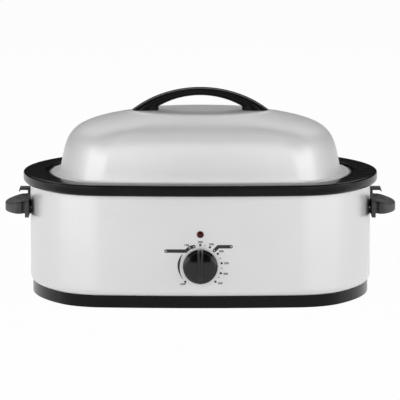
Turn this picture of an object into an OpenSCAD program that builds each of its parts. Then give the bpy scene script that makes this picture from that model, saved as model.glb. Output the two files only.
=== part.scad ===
// Electric roaster oven, millimetres.
// +Z up, front (control knob) towards -Y, origin under the middle of the feet.
//
// Every level of the shell is the same rounded plan, drawn further in or out.
// One quarter of the plan is three tangent arcs: end, corner and front.
// "Inset" always means the distance inwards from the rim collar's outer edge.

/* [Plan] */
// Length of the rim collar, side to side
rim_len = 538; // [500:1:580]
// Depth of the rim collar, front to back
rim_dep = 410; // [380:1:440]
// Corner radius of the rim collar
rim_corner_r = 99; // [92:1:112]
// Angle that each half of an end arc turns through
end_turn = 35; // [30:0.5:40]
// Angle at which the corner arc gives way to the front arc
front_turn = 84.5; // [83:0.5:86]

/* [Base and feet] */
// How far the feet stand below the base
foot_drop = 2; // [1:0.5:5]
// Diameter of a foot
foot_d = 22; // [16:1:30]
// Distance of the feet from the middle, along the length
foot_x = 170; // [140:1:185]
// Distance of the feet from the middle, front to back
foot_y = 112; // [95:1:125]
// Height of the base moulding
base_h = 18.5; // [14:0.5:24]
// Inset of the base wall
base_inset = 14; // [12.5:0.5:18]
// Wall of the base moulding
base_wall = 2.6; // [2:0.1:4]
// Height of the base floor above the base's lower edge
base_floor_rise = 3; // [2:0.5:6]

/* [Body] */
// Height of the painted steel body between base and collar
body_h = 149.8; // [130:0.1:170]
// Inset of the body wall
body_inset = 10.5; // [9:0.5:13]
// Thickness of the body sheet
body_wall = 0.8; // [0.6:0.1:1.2]
// Radius that turns the foot of the body in over the base
body_foot_r = 14; // [12:1:20]
// Width of the body's lower flange, which lies on the base
body_flange = 12; // [9:1:16]

/* [Rim collar] */
// Height of the collar
collar_h = 16; // [14:0.5:20]
// Wall of the collar moulding
collar_wall = 2.6; // [2:0.1:3.2]
// Radius of the collar's top outer edge
collar_top_r = 3; // [2:0.5:4]
// Radius of the collar's lower outer edge
collar_low_r = 6; // [3:0.5:7]
// Width of the collar's top face
collar_top_w = 33.5; // [28:0.5:36]
// Depth of the step inside the collar that carries the pan
collar_step = 5; // [4:0.5:6]
// Width of that step
collar_ledge_w = 10; // [9:0.5:11]

/* [Heating well] */
// Thickness of the well's steel
liner_wall = 0.8; // [0.6:0.1:1.2]
// Inset of the well's outer face
liner_inset = 47; // [45:0.5:49]
// Height of the well's floor above the base's lower edge
liner_floor_rise = 34; // [28:1:38]
// Radius round the well's floor
liner_floor_r = 14; // [10:1:16]

/* [Roasting pan] */
// Thickness of the pan's steel
pan_wall = 1; // [0.8:0.1:1.4]
// Radius of the pan's rolled bead
pan_bead_r = 1.7; // [1.4:0.1:2]
// Width of the pan's flange, from the bead to the wall
pan_flange_w = 15; // [13:0.5:17]
// Gap between the pan's floor and the well's floor
pan_floor_gap = 10; // [6:1:14]
// Radius round the pan's floor
pan_floor_r = 16; // [12:1:18]

/* [Roasting rack] */
// Wire of the rack's frame
rack_frame_d = 5; // [4:0.5:6]
// Wire of the rack's bars
rack_bar_d = 3.4; // [3:0.2:4]
// Number of cross bars
rack_bars = 11; // [7:2:15]
// Gap between rack frame and pan wall
rack_gap = 16; // [14:1:18]
// Height of the rack's feet
rack_foot_h = 10; // [6:1:16]
// Height of the rack's lifting loops above its bars
rack_loop_h = 84; // [60:1:92]
// Width of a lifting loop
rack_loop_w = 110; // [80:1:130]

/* [Lid] */
// Thickness of the lid's sheet
lid_wall = 1; // [0.8:0.1:1.4]
// Height of the dome above the lid's flange
dome_h = 93.3; // [80:1:105]
// Inset of the dome's wall at its foot
dome_inset = 55.2; // [54:0.1:58]
// Lean of the dome's wall at its foot
dome_foot_lean = 9.6; // [4:0.2:16]
// Length over which the foot's lean holds
dome_foot_reach = 68.5; // [50:0.5:85]
// Slope of the dome where it meets the pad
dome_top_slope = 10.2; // [4:0.2:16]
// Length over which the top's slope holds
dome_top_reach = 99.2; // [70:0.1:110]
// Length of the flat pad on top of the dome
pad_len = 208; // [190:1:220]
// Depth of the flat pad, front to back
pad_dep = 149; // [100:1:150]
// Height of the step round the pad
pad_step = 0.8; // [0.6:0.1:2]

/* [Lid handle] */
// Length of the lid handle over its feet
grip_len = 206; // [180:1:210]
// Height of the lid handle above the pad
grip_h = 34.7; // [28:0.1:40]
// Front to back depth of the lid handle at its middle
grip_dep = 27; // [22:0.5:34]
// Thickness of the lid handle at the top of its arch
grip_thick = 12; // [9:0.1:14]
// Length of each foot of the lid handle
grip_foot = 40; // [34:0.5:46]
// Thickness of the gasket under each foot
gasket_t = 1; // [0.6:0.1:1.6]

/* [Side handles] */
// How far a side handle stands out from the body's end
side_reach = 38.5; // [32:0.5:44]
// Length of a side handle's plate along the body
side_plate_len = 138; // [120:1:150]
// Height of a side handle's plate
side_plate_h = 24; // [20:0.5:28]
// Thickness of a side handle's plate
side_plate_t = 5.7; // [3.5:0.1:7]
// Thickness of a side handle's grip
side_grip_t = 13.5; // [11:0.5:15]
// How far the foot of a side handle's plate lies below the top of the body
side_drop = 53.2; // [46:0.1:62]
// Width of each lid rest hook
hook_w = 26; // [20:1:30]
// Length of each hook's arm beyond the plate
hook_arm = 14; // [9:0.5:16]
// Rise of each hook above the plate
hook_rise = 7.5; // [6:0.5:8.5]

/* [Control] */
// Height of the knob's axis
knob_z = 65.4; // [60:0.1:72]
// Diameter of the knob
knob_d = 51.4; // [44:0.2:56]
// Depth of the knob, without its grip
knob_t = 13; // [11:0.5:16]
// Height of the grip ridge on the knob
knob_ridge_t = 9; // [6:0.5:12]
// Width of the grip ridge
knob_ridge_w = 9; // [7:0.5:12]
// Gap between knob and body
knob_gap = 1.5; // [1:0.25:3]
// Radius of the control shaft
shaft_r = 3; // [2.5:0.25:4]
// Running clearance of the shaft in its bushing
shaft_fit = 0.05; // [0.02:0.01:0.09]
// Height of the pilot light's axis
pilot_z = 113; // [104:0.5:120]
// Diameter of the pilot light's lens
pilot_d = 10.4; // [8:0.2:13]

/* [Cord entry] */
// Height of the cord entry at the back
gland_z = 50; // [44:0.5:60]
// Radius of the passage for the cord
gland_r = 3.8; // [3:0.1:4.5]

/* [Hidden] */

$fn = 64;
eps = 0.01;
seat = 0.3;

// Colours
paint = "#dcdcdc";
black_plastic = "#26262a";
steel = "#b9bcc0";
chrome = "#d4d7da";
enamel = "#3a3d42";
rubber = "#1c1c1e";
red = "#8c1622";
wool = "#e6dfc8";

// Levels
base_z = foot_drop;
base_top_z = base_z + base_h;
body_lap_up = 3.9;
body_top_z = base_top_z + body_h + body_lap_up;
collar_low_z = base_top_z + body_h - 0.6;
collar_top_z = collar_low_z + collar_h + 0.5;
ledge_z = collar_top_z - collar_step;
side_z = body_top_z - side_drop;
liner_z = base_z + liner_floor_rise;
pan_floor_z = liner_z + liner_wall + pan_floor_gap;
pan_flange_z = ledge_z + 0.7;
lid_z = pan_flange_z + pan_wall + 0.25;
pad_z = lid_z + dome_h;

// Insets
ledge_in = collar_top_w;
lip_in = collar_top_w + collar_ledge_w;
pan_bead_in = ledge_in + (collar_ledge_w - 2 * pan_bead_r) * 0.8 + pan_bead_r;
pan_in = pan_bead_in + pan_flange_w + pan_bead_r;

// ---- Plan outline ------------------------------------------------------

half_len = rim_len / 2;
half_dep = rim_dep / 2;

// Radii of the end and front arcs that meet the corner arc without a kink
det = (1 - cos(end_turn)) * (1 - sin(front_turn)) - cos(front_turn) * sin(end_turn);
end_extra = ((half_len - rim_corner_r) * (1 - sin(front_turn))
    - (half_dep - rim_corner_r) * cos(front_turn)) / det;
front_extra = ((half_dep - rim_corner_r) * (1 - cos(end_turn))
    - (half_len - rim_corner_r) * sin(end_turn)) / det;
end_r = rim_corner_r + end_extra;
front_r = rim_corner_r + front_extra;
end_cx = half_len - end_r;
front_cy = half_dep - front_r;
corner_cx = end_cx + end_extra * cos(end_turn);
corner_cy = end_extra * sin(end_turn);

// One arc as [centre, radius, first angle, last angle], at no inset
end_arc = [[end_cx, 0], end_r, -end_turn, end_turn];
front_arc = [[0, front_cy], front_r, front_turn, 180 - front_turn];
corner_arc = [[corner_cx, corner_cy], rim_corner_r, end_turn, front_turn];

function arc_point(arc, inset, a) = arc[0] + (arc[1] - inset) * [cos(a), sin(a)];

// First quarter of the outline, as [point, direction of the outward normal]
function quarter(inset, n_end, n_corner, n_front) = concat(
    [for (i = [0:n_end - 1]) let (a = end_turn * i / n_end)
        [arc_point(end_arc, inset, a), a]],
    [for (i = [0:n_corner - 1]) let (a = end_turn + (front_turn - end_turn) * i / n_corner)
        [arc_point(corner_arc, inset, a), a]],
    [for (i = [0:n_front]) let (a = front_turn + (90 - front_turn) * i / n_front)
        [arc_point(front_arc, inset, a), a]]);

// Whole loop from a quarter, anticlockwise, each point once
function loop(q) = let (n = len(q)) concat(
    q,
    [for (i = [n - 2:-1:0]) [[-q[i][0][0], q[i][0][1]], 180 - q[i][1]]],
    [for (i = [1:n - 1]) [[-q[i][0][0], -q[i][0][1]], 180 + q[i][1]]],
    [for (i = [n - 2:-1:1]) [[q[i][0][0], -q[i][0][1]], 360 - q[i][1]]]);

function loop_points(inset) = [for (e = loop(quarter(inset, 4, 6, 3))) e[0]];

// X of the outline's end and Y of its front, at an inset, off the middle
function end_x(inset, y = 0) = end_cx + sqrt(pow(end_r - inset, 2) - y * y);
function front_y(inset, x = 0) = -(front_cy + sqrt(pow(front_r - inset, 2) - x * x));

// Moves in two steps, whole millimetres first, so long radii keep their last digits
module shift(v) {
    whole = [for (c = v) floor(c)];
    translate(whole) translate(v - whole) children();
}

// Sweeps a profile, drawn as [inset, height], along one arc
module sweep_arc(arc, first, last, fineness = 128) {
    shift([arc[0][0], arc[0][1], 0])
        rotate_extrude(start = first, angle = last - first, $fn = fineness)
            shift([arc[1], 0]) mirror([1, 0]) children();
}

// Sweeps a profile, drawn as [inset, height], all the way round the plan
module sweep_ring() {
    for (side = [0, 1]) {
        mirror([side, 0, 0]) sweep_arc(end_arc, end_arc[2], end_arc[3]) children();
        mirror([0, side, 0]) sweep_arc(front_arc, front_arc[2], front_arc[3], 256) children();
        for (back = [0, 1]) {
            mirror([side, 0, 0]) mirror([0, back, 0])
                sweep_arc(corner_arc, corner_arc[2], corner_arc[3]) children();
        }
    }
}

// Part of a ring of sheet, as a profile: a quarter bend between two radii
module bend(centre, r_in, r_out, quadrant) {
    translate(centre) rotate(90 * quadrant) intersection() {
        difference() {
            circle(r_out);
            circle(r_in);
        }
        square(r_out + 1);
    }
}

module box2(low, high) {
    translate(low) square(high - low);
}

// Flat floor that fills the plan inwards from an inset
module floor_slab(inset, low, high) {
    translate([0, 0, low]) linear_extrude(high - low) polygon(loop_points(inset));
}

// Solid between stacked loops of equally many points, closed at both ends
module stack(loops) {
    n = len(loops[0]);
    m = len(loops);
    polyhedron(
        points = [for (l = loops) each l],
        faces = concat(
            [[for (i = [n - 1:-1:0]) i]],
            [for (k = [0:m - 2], i = [0:n - 1]) let (j = (i + 1) % n)
                [k * n + i, k * n + j, (k + 1) * n + j, (k + 1) * n + i]],
            [[for (i = [0:n - 1]) (m - 1) * n + i]]));
}

// Pan head screw along +Z, its head below zero
module screw(d, length, head_d, head_t) {
    cylinder(d = d, h = length);
    translate([0, 0, -head_t]) difference() {
        cylinder(d = head_d, h = head_t);
        for (a = [0, 90]) {
            rotate(a) translate([-head_d * 0.3, -0.5, -eps]) cube([head_d * 0.6, 1, head_t * 0.5]);
        }
    }
}

// ---- Base --------------------------------------------------------------

base_post_r = 5;
base_screw_in = base_inset + 8;
base_screw_xy = concat(
    [for (sx = [-1, 1], sy = [-1, 1]) [sx * corner_cx, -sy * front_y(base_screw_in, corner_cx)]],
    [for (sx = [-1, 1]) [sx * end_x(base_screw_in), 0]]);
base_floor_z = base_z + base_floor_rise;
foot_xy = [for (sy = [-1, 1], sx = [-1, 1]) [sx * foot_x, sy * foot_y]];
foot_pad_t = foot_drop + base_floor_rise;

module base_tray() color(black_plastic) {
    difference() {
        union() {
            sweep_ring() base_profile();
            floor_slab(base_inset + 10, base_floor_z, base_floor_z + base_wall);
            for (p = base_screw_xy) translate([p[0], p[1], base_floor_z])
                cylinder(r = base_post_r, h = base_top_z - base_floor_z);
        }
        for (p = base_screw_xy) translate([p[0], p[1], base_z - 1]) {
            cylinder(d = 4, h = base_h + 2);
            cylinder(d = 8.4, h = base_floor_rise + 4);
        }
        for (p = foot_xy) translate([p[0], p[1], base_z]) cylinder(d = 6, h = base_h);
        // Cooling slots through the floor
        for (sx = [-1, 1], k = [-3:3]) translate([sx * 95 - 30, k * 22 - 2.5, base_z])
            cube([60, 5, base_h / 2]);
    }
}

module base_profile() {
    r = 1.5;
    difference() {
        union() {
            box2([base_inset, base_z + r], [base_inset + base_wall, base_top_z]);
            box2([base_inset + r, base_z], [base_inset + base_wall, base_top_z]);
            bend([base_inset + r, base_z + r], 0, r, 2);
            box2([base_inset + eps, base_floor_z], [base_inset + 20, base_floor_z + base_wall]);
        }
        bend([base_inset + r, base_z + r], r, 2 * r, 2);
    }
}

module foot(k) color(rubber) {
    translate([foot_xy[k][0], foot_xy[k][1], 0]) {
        rotate_extrude() difference() {
            square([foot_d / 2, foot_pad_t]);
            translate([foot_d / 2 - 1, -eps]) rotate(45) translate([0, -2]) square([3, 2]);
        }
        cylinder(d = 5.6, h = foot_pad_t + base_wall);
        translate([0, 0, foot_pad_t + base_wall]) cylinder(d = 9, h = 1.4);
    }
}

module foot_front_left() { foot(0); }
module foot_front_right() { foot(1); }
module foot_rear_left() { foot(2); }
module foot_rear_right() { foot(3); }

flange_z = base_top_z;
nut_t = 1.6;

module base_screws() color(steel) {
    for (p = base_screw_xy) translate([p[0], p[1], base_z + base_floor_rise + 3]) {
        screw(3.4, base_top_z + body_wall + nut_t + 1.5 - base_z - base_floor_rise - 3, 7.6, 2.2);
    }
}

module speed_nuts() color(steel) {
    for (p = base_screw_xy) translate([p[0], p[1], flange_z + body_wall]) difference() {
        translate([-5, -4, 0]) cube([10, 8, nut_t]);
        translate([0, 0, -1]) cylinder(d = 3.4, h = nut_t + 2);
    }
}

// ---- Bottom heat shield --------------------------------------------------

shield_in = 62;
shield_t = 0.8;
shield_z = base_floor_z + base_wall + 12;
shield_post_xy = [for (sx = [-1, 1], sy = [-1, 1]) [sx * 120, sy * 60]];

module heat_shield() color(steel) {
    difference() {
        union() {
            sweep_ring() {
                box2([shield_in, shield_z], [shield_in + 20, shield_z + shield_t]);
                box2([shield_in, shield_z], [shield_in + shield_t, shield_z + 6]);
            }
            floor_slab(shield_in + 10, shield_z, shield_z + shield_t);
        }
        for (p = shield_post_xy) translate([p[0], p[1], shield_z - 1]) cylinder(d = 4.4, h = 4);
    }
}

module shield_posts() color(steel) {
    low = base_floor_z + base_wall;
    for (p = shield_post_xy) translate([p[0], p[1], low]) {
        cylinder(d = 8, h = shield_z - low);
        cylinder(d = 4, h = shield_z - low + shield_t);
        translate([0, 0, shield_z - low + shield_t]) cylinder(d = 8, h = liner_z - shield_z - shield_t);
    }
}

// ---- Outer body ----------------------------------------------------------

body_arc_h = 10;
body_foot_in = body_inset + body_foot_r - sqrt(pow(body_foot_r, 2) - pow(body_arc_h, 2));
body_front_y = front_y(body_inset);

module body_profile() {
    arc_z = base_top_z + body_arc_h;
    // wall
    box2([body_inset, arc_z], [body_inset + body_wall, body_top_z]);
    // foot turned in on a radius
    translate([body_inset + body_foot_r, arc_z]) intersection() {
        difference() {
            circle(body_foot_r, $fn = 128);
            circle(body_foot_r - body_wall, $fn = 128);
        }
        translate([-body_foot_r - 1, -body_arc_h]) square([body_foot_r, body_arc_h]);
    }
    // lower and upper flanges
    box2([body_foot_in, base_top_z], [body_foot_in + body_flange, base_top_z + body_wall]);
    box2([body_inset, body_top_z - body_wall], [body_flange_in, body_top_z]);
}
body_flange_in = 30;

module outer_body() color(paint) {
    difference() {
        sweep_ring() body_profile();
        // control shaft, its two screws and the pilot light
        translate([0, body_front_y - 5, knob_z]) rotate([-90, 0, 0]) {
            cylinder(r = bushing_r + 0.2, h = 12);
            for (s = [-1, 1]) translate([s * bracket_screw_x, 0, 0]) cylinder(d = 4, h = 12);
        }
        translate([0, body_front_y - 5, pilot_z]) rotate([-90, 0, 0])
            cylinder(d = pilot_stem_d + 0.4, h = 12);
        // cord entry
        translate([0, -body_front_y - 5, gland_z]) rotate([-90, 0, 0])
            cylinder(r = gland_neck_r + 0.2, h = 10);
        // side handle screws
        for (side = [-1, 1], sy = [-1, 1]) translate([side * end_x(20), sy * side_screw_y, side_screw_z])
            rotate([0, 90 * side, 0]) cylinder(d = 5, h = 20);
        // collar and base screws
        for (p = collar_screw_xy) translate([p[0], p[1], body_top_z - 2]) cylinder(d = 4, h = 4);
        for (p = base_screw_xy) translate([p[0], p[1], flange_z - 1]) cylinder(d = 4, h = 4);
    }
}

// ---- Rim collar ----------------------------------------------------------

collar_screw_in = 18;
collar_boss_top = collar_top_z - collar_wall - 0.2;
collar_screw_xy = concat(
    [for (sx = [-1, 1], sy = [-1, 1]) [sx * 110, -sy * front_y(collar_screw_in, 110)]],
    [for (sx = [-1, 1], sy = [-1, 1]) [sx * end_x(collar_screw_in, 80), sy * 80]]);

module collar_profile() {
    skirt_in = body_inset - seat;
    low = collar_low_z;
    top = collar_top_z;
    w = collar_wall;
    // outer skirt with its two rounded edges
    box2([0, low + collar_low_r], [w, top - collar_top_r]);
    bend([collar_low_r, low + collar_low_r], collar_low_r - w, collar_low_r, 2);
    box2([collar_low_r, low], [skirt_in, low + w]);
    bend([collar_top_r, top - collar_top_r], collar_top_r - w, collar_top_r, 1);
    // top face, step and ledge
    box2([collar_top_r, top - w], [ledge_in - 1, top]);
    bend([ledge_in - 1, top - 1], 0, 1, 0);
    box2([ledge_in - w, ledge_z - w], [ledge_in, top - 1]);
    box2([ledge_in - w, ledge_z - w], [lip_in, ledge_z]);
    // lip that holds the well's flange down
    box2([lip_in - w, body_top_z + liner_wall], [lip_in, ledge_z]);
}

module rim_collar() color(black_plastic) {
    sweep_ring() collar_profile();
    for (p = collar_screw_xy) translate([p[0], p[1], body_top_z]) difference() {
        cylinder(d = 7.5, h = collar_boss_top - body_top_z + 0.5);
        translate([0, 0, -1]) cylinder(d = 2.8, h = 8);
    }
}

module collar_screws() color(steel) {
    for (p = collar_screw_xy) translate([p[0], p[1], body_top_z - body_wall]) screw(2.8, 6.5, 6, 1.8);
}

// ---- Heating well --------------------------------------------------------

liner_flange_out = 24;

module wall_profile(inset, wall, top, floor_z, floor_r, floor_w) {
    box2([inset, floor_z + floor_r], [inset + wall, top]);
    bend([inset + floor_r, floor_z + floor_r], floor_r - wall, floor_r, 2);
    box2([inset + floor_r, floor_z], [inset + floor_r + floor_w, floor_z + wall]);
}

module inner_liner() color(steel) {
    sweep_ring() {
        wall_profile(liner_inset, liner_wall, body_top_z + liner_wall, liner_z, liner_floor_r, 14);
        box2([liner_flange_out, body_top_z], [liner_inset + liner_wall, body_top_z + liner_wall]);
    }
    floor_slab(liner_inset + liner_floor_r + 7, liner_z, liner_z + liner_wall);
}

heater_low_z = liner_z + liner_floor_r + 8;
heater_h = 42;
heater_t = 2.4;
heater_in = liner_inset - heater_t;

module heater_band() color("#8d8a84") {
    sweep_ring() box2([heater_in, heater_low_z], [liner_inset, heater_low_z + heater_h]);
}

strap_t = 1;

module heater_straps() color(steel) {
    for (k = [0.2, 0.8]) sweep_ring()
        box2([heater_in - strap_t, heater_low_z + k * heater_h - 3],
            [heater_in, heater_low_z + k * heater_h + 3]);
}

terminal_x = 70;

module heater_terminals() color(steel) {
    z = heater_low_z + heater_h / 2;
    base_r = 4.5;
    y = front_y(heater_in, terminal_x - base_r);
    for (s = [-1, 1]) translate([s * terminal_x, y, z]) rotate([90, 0, 0]) {
        cylinder(r = base_r, h = 2);
        cylinder(d = 4, h = 8);
    }
}

wool_in = 14;
wool_t = heater_in - strap_t - seat - wool_in;
wool_low_z = base_top_z + 16;
wool_high_z = body_top_z - body_wall - 4;

module insulation_blanket() color(wool) {
    difference() {
        sweep_ring() box2([wool_in, wool_low_z], [wool_in + wool_t, wool_high_z]);
        // room for the control and the pilot light
        translate([-terminal_x - 12, front_y(0) - 1, base_z]) cube([2 * (terminal_x + 12), 60, wool_high_z - base_z - 22]);
        // room for the cord entry
        translate([-40, -front_y(wool_in + wool_t + 12), base_z]) cube([80, 60, gland_z + 24 - base_z]);
        // room for the side handles' backing plates
        for (s = [-1, 1]) translate([s * end_x(wool_in + 6) - 6, -60, side_z - 6]) cube([12, 120, 40]);
    }
}

// ---- Roasting pan --------------------------------------------------------

module roasting_pan() color(enamel) {
    flange_r = 4;
    top = pan_flange_z + pan_wall;
    sweep_ring() {
        translate([pan_bead_in, ledge_z + pan_bead_r]) circle(pan_bead_r);
        box2([pan_bead_in, pan_flange_z], [pan_in - flange_r + pan_wall, top]);
        bend([pan_in - flange_r + pan_wall, top - flange_r], flange_r - pan_wall, flange_r, 0);
        wall_profile(pan_in, pan_wall, top - flange_r, pan_floor_z, pan_floor_r, 10);
    }
    floor_slab(pan_in + pan_floor_r + 5, pan_floor_z, pan_floor_z + pan_wall);
}

// ---- Roasting rack -------------------------------------------------------

rack_in = pan_in + pan_wall + rack_gap;
rack_z = pan_floor_z + pan_wall + seat + rack_foot_h + rack_frame_d / 2;
rack_frame_x = end_x(rack_in);
rack_frame_y = -front_y(rack_in);
rack_weld = 0.8;
rack_bar_end = 1.3;
rack_margin = 26;
rack_bar_z = rack_z + rack_frame_d / 2 + rack_bar_d / 2 - rack_weld;
rack_pitch = 2 * (rack_frame_x - rack_margin) / (rack_bars - 1);
rack_rail_y = 55;
rack_foot_x = rack_pitch * 2.5;

module rack_grid() color(chrome) {
    sweep_ring() translate([rack_in, rack_z]) circle(d = rack_frame_d, $fn = 24);
    // cross bars, welded on top of the frame
    for (k = [0:rack_bars - 1]) {
        x = rack_margin - rack_frame_x + k * rack_pitch;
        reach = rack_bar_reach(x) + rack_bar_end;
        translate([x, -reach, rack_bar_z]) rotate([-90, 0, 0])
            cylinder(d = rack_bar_d, h = 2 * reach, $fn = 24);
    }
    // two rails along the length, at the frame's own height
    for (sy = [-1, 1]) translate([-end_x(rack_in, rack_rail_y), sy * rack_rail_y, rack_z])
        rotate([0, 90, 0]) cylinder(d = rack_bar_d, h = 2 * end_x(rack_in, rack_rail_y), $fn = 24);
    for (sx = [-1, 1], sy = [-1, 1]) {
        translate([sx * rack_foot_x, sy * rack_bar_reach(rack_foot_x), rack_z - rack_frame_d / 2 - rack_foot_h])
            cylinder(d = rack_frame_d - 1, h = rack_foot_h + rack_frame_d / 2, $fn = 24);
    }
}

// Y at which a cross bar meets the frame
function rack_bar_reach(x) =
    abs(x) < corner_cx + (rim_corner_r - rack_in) * cos(front_turn)
        ? front_cy + sqrt(pow(front_r - rack_in, 2) - x * x)
        : corner_cy + sqrt(max(0, pow(rim_corner_r - rack_in, 2) - pow(abs(x) - corner_cx, 2)));

loop_r = 12;

module rack_loop(side) color(chrome) {
    w = rack_loop_w / 2;
    x = side * end_x(rack_in, w);
    top = rack_bar_z + rack_loop_h;
    low = rack_z + rack_frame_d / 2;
    for (sy = [-1, 1]) {
        translate([x, sy * w, low]) cylinder(d = rack_bar_d, h = top - loop_r - low, $fn = 24);
        translate([x, sy * (w - loop_r), top - loop_r]) rotate([90, 0, 90])
            rotate_extrude(start = sy > 0 ? 0 : 90, angle = 90, $fn = 48) translate([loop_r, 0]) circle(d = rack_bar_d, $fn = 24);
    }
    translate([x, -w + loop_r, top]) rotate([-90, 0, 0]) cylinder(d = rack_bar_d, h = 2 * (w - loop_r), $fn = 24);
}

module rack_loop_left() { rack_loop(-1); }
module rack_loop_right() { rack_loop(1); }

// ---- Lid -----------------------------------------------------------------

lid_edge_in = pan_bead_in + pan_bead_r + 0.5;
pad_half = [pad_len / 2, pad_dep / 2];

// Point of the pad's ellipse whose outward normal points along a
function pad_point(a, half) =
    let (s = sqrt(pow(half[0] * cos(a), 2) + pow(half[1] * sin(a), 2)))
    [half[0] * half[0] * cos(a) / s, half[1] * half[1] * sin(a) / s];

// Section of the dome: the rounded plan at 0, the pad's ellipse at 1
function dome_section(t, z, inset) = let (q = loop(quarter(inset, 4, 8, 4)))
    [for (e = q) let (p = (1 - t) * e[0] + t * pad_point(e[1], pad_half)) [p[0], p[1], z]];

// The dome's side view is one cubic curve from its foot to the pad,
// as [distance inwards, height]
dome_run = end_x(dome_inset) - pad_half[0];
function dome_curve(k, h) = let (m = 1 - k,
    foot = dome_foot_reach * [sin(dome_foot_lean), cos(dome_foot_lean)],
    top = [dome_run, h] - dome_top_reach * [cos(dome_top_slope), sin(dome_top_slope)])
    3 * k * m * m * foot + 3 * k * k * m * top + k * k * k * [dome_run, h];
dome_steps = [0.05, 0.14, 0.24, 0.34, 0.43, 0.52, 0.61, 0.71, 0.82, 0.93];

function flange_loop(inset, z) = [for (e = loop(quarter(inset, 4, 8, 4))) [e[0][0], e[0][1], z]];
function pad_loop(grow, z) = [for (e = loop(quarter(0, 4, 8, 4)))
    let (p = pad_point(e[1], pad_half + [grow, grow])) [p[0], p[1], z]];

lid_roll = 1.6;

module lid_dome() color(paint) {
    z0 = lid_z;
    w = lid_wall;
    inner_h = dome_h - w;
    outer = concat(
        [flange_loop(lid_edge_in, z0), flange_loop(lid_edge_in - 0, z0 + lid_roll),
            flange_loop(lid_edge_in + 0.6, z0 + lid_roll + 0.5),
            flange_loop(lid_edge_in + 1.8, z0 + lid_roll + 0.5),
            flange_loop(lid_edge_in + 3.4, z0 + w + 0.3),
            flange_loop(dome_inset - 2.6, z0 + w),
            flange_loop(dome_inset - 0.6, z0 + w + 0.8)],
        [for (k = dome_steps) let (p = dome_curve(k, dome_h))
            dome_section(p[0] / dome_run, z0 + p[1], dome_inset)],
        [pad_loop(1.2, z0 + dome_h), pad_loop(0, z0 + dome_h + pad_step)]);
    inner = concat(
        [pad_loop(-w, z0 + dome_h + pad_step - w), pad_loop(1.2 - w, z0 + inner_h)],
        [for (i = [len(dome_steps) - 1:-1:0]) let (p = dome_curve(dome_steps[i], inner_h))
            dome_section(p[0] / dome_run, z0 + p[1], dome_inset + w)],
        [flange_loop(dome_inset - 0.6 + w, z0 + 0.9), flange_loop(dome_inset - 1.6 + w, z0),
            flange_loop(dome_inset - 3, z0)]);
    difference() {
        ring_solid(outer, inner);
        for (s = [-1, 1]) translate([s * grip_screw_x, 0, pad_z - 5]) cylinder(d = 5, h = 10);
    }
}

// Closed skin over stacked loops: outer ones upwards, inner ones back down
module ring_solid(outer, inner) {
    n = len(outer[0]);
    all = concat(outer, inner);
    m = len(all);
    top = len(outer) - 1;
    polyhedron(
        points = [for (l = all) each l],
        faces = concat(
            [for (k = [0:m - 1], i = [0:n - 1]) if (k != top)
                let (j = (i + 1) % n, u = (k + 1) % m)
                [k * n + i, k * n + j, u * n + j, u * n + i]],
            [[for (i = [0:n - 1]) top * n + i]],
            [[for (i = [n - 1:-1:0]) (top + 1) * n + i]]));
}

// ---- Lid handle ----------------------------------------------------------

grip_z = pad_z + pad_step + gasket_t;
grip_screw_x = grip_len / 2 - grip_foot / 2;
grip_stations = 26;
arch_drop = 92;
grip_rise = grip_h - gasket_t;
grip_toe_x = grip_len / 2 - grip_foot;

// Outer and inner arches are shallow ellipses centred far below the pad
function arch(a, half, rise) = [half * cos(a), rise * sin(a) - arch_drop];
function arch_sizes(span, rise) = [span / sqrt(1 - pow(arch_drop / (rise + arch_drop), 2)), rise + arch_drop];
grip_out = arch_sizes(grip_len / 2, grip_rise);
grip_in = arch_sizes(grip_len / 2 - grip_foot + 8, grip_rise - grip_thick);

// One cross section: an oval between the inner and outer arch, cut flat at the foot,
// where the underside drops straight down to the toe
function grip_section(a) =
    let (out_a0 = asin(arch_drop / grip_out[1]),
         in_a0 = asin(arch_drop / grip_in[1]),
         f = abs(a - 90) / 90,
         po = arch(out_a0 + (180 - 2 * out_a0) * a / 180, grip_out[0], grip_out[1]),
         under = arch(in_a0 + (180 - 2 * in_a0) * a / 180, grip_in[0], grip_in[1]),
         pi = [sign(under[0]) * min(abs(under[0]), grip_toe_x), under[1]],
         wide = grip_dep * (1 + 0.18 * f * f))
    [for (k = [0:13]) let (b = 360 * k / 14 + 180 / 14,
        u = sign(cos(b)) * pow(abs(cos(b)), 0.7), v = sign(sin(b)) * pow(abs(sin(b)), 0.7),
        m = (po + pi) / 2 + u * (po - pi) / 2)
        [m[0], v * wide / 2, max(0, m[1]) + grip_z]];

module lid_handle() color(black_plastic) {
    difference() {
        stack([for (k = [0:grip_stations]) grip_section(180 - 180 * k / grip_stations)]);
        for (s = [-1, 1]) translate([s * grip_screw_x, 0, grip_z - 1]) cylinder(d = 3.6, h = 9);
    }
}

module lid_handle_gaskets() color(rubber) {
    for (s = [-1, 1]) translate([s * grip_screw_x, 0, grip_z - gasket_t]) difference() {
        linear_extrude(gasket_t) square([grip_foot - 4, grip_dep], center = true);
        translate([0, 0, -1]) cylinder(d = 5, h = 5);
    }
}

washer_t = 1.2;
pad_inside_z = pad_z + pad_step - lid_wall;

module lid_handle_washers() color(steel) {
    for (s = [-1, 1]) translate([s * grip_screw_x, 0, pad_inside_z - washer_t]) difference() {
        cylinder(d = 14, h = washer_t);
        translate([0, 0, -1]) cylinder(d = 4.4, h = 5);
    }
}

module lid_handle_screws() color(steel) {
    for (s = [-1, 1]) translate([s * grip_screw_x, 0, pad_inside_z - washer_t]) screw(3.6, 10.5, 8.5, 2.8);
}

// ---- Side handles --------------------------------------------------------

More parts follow.
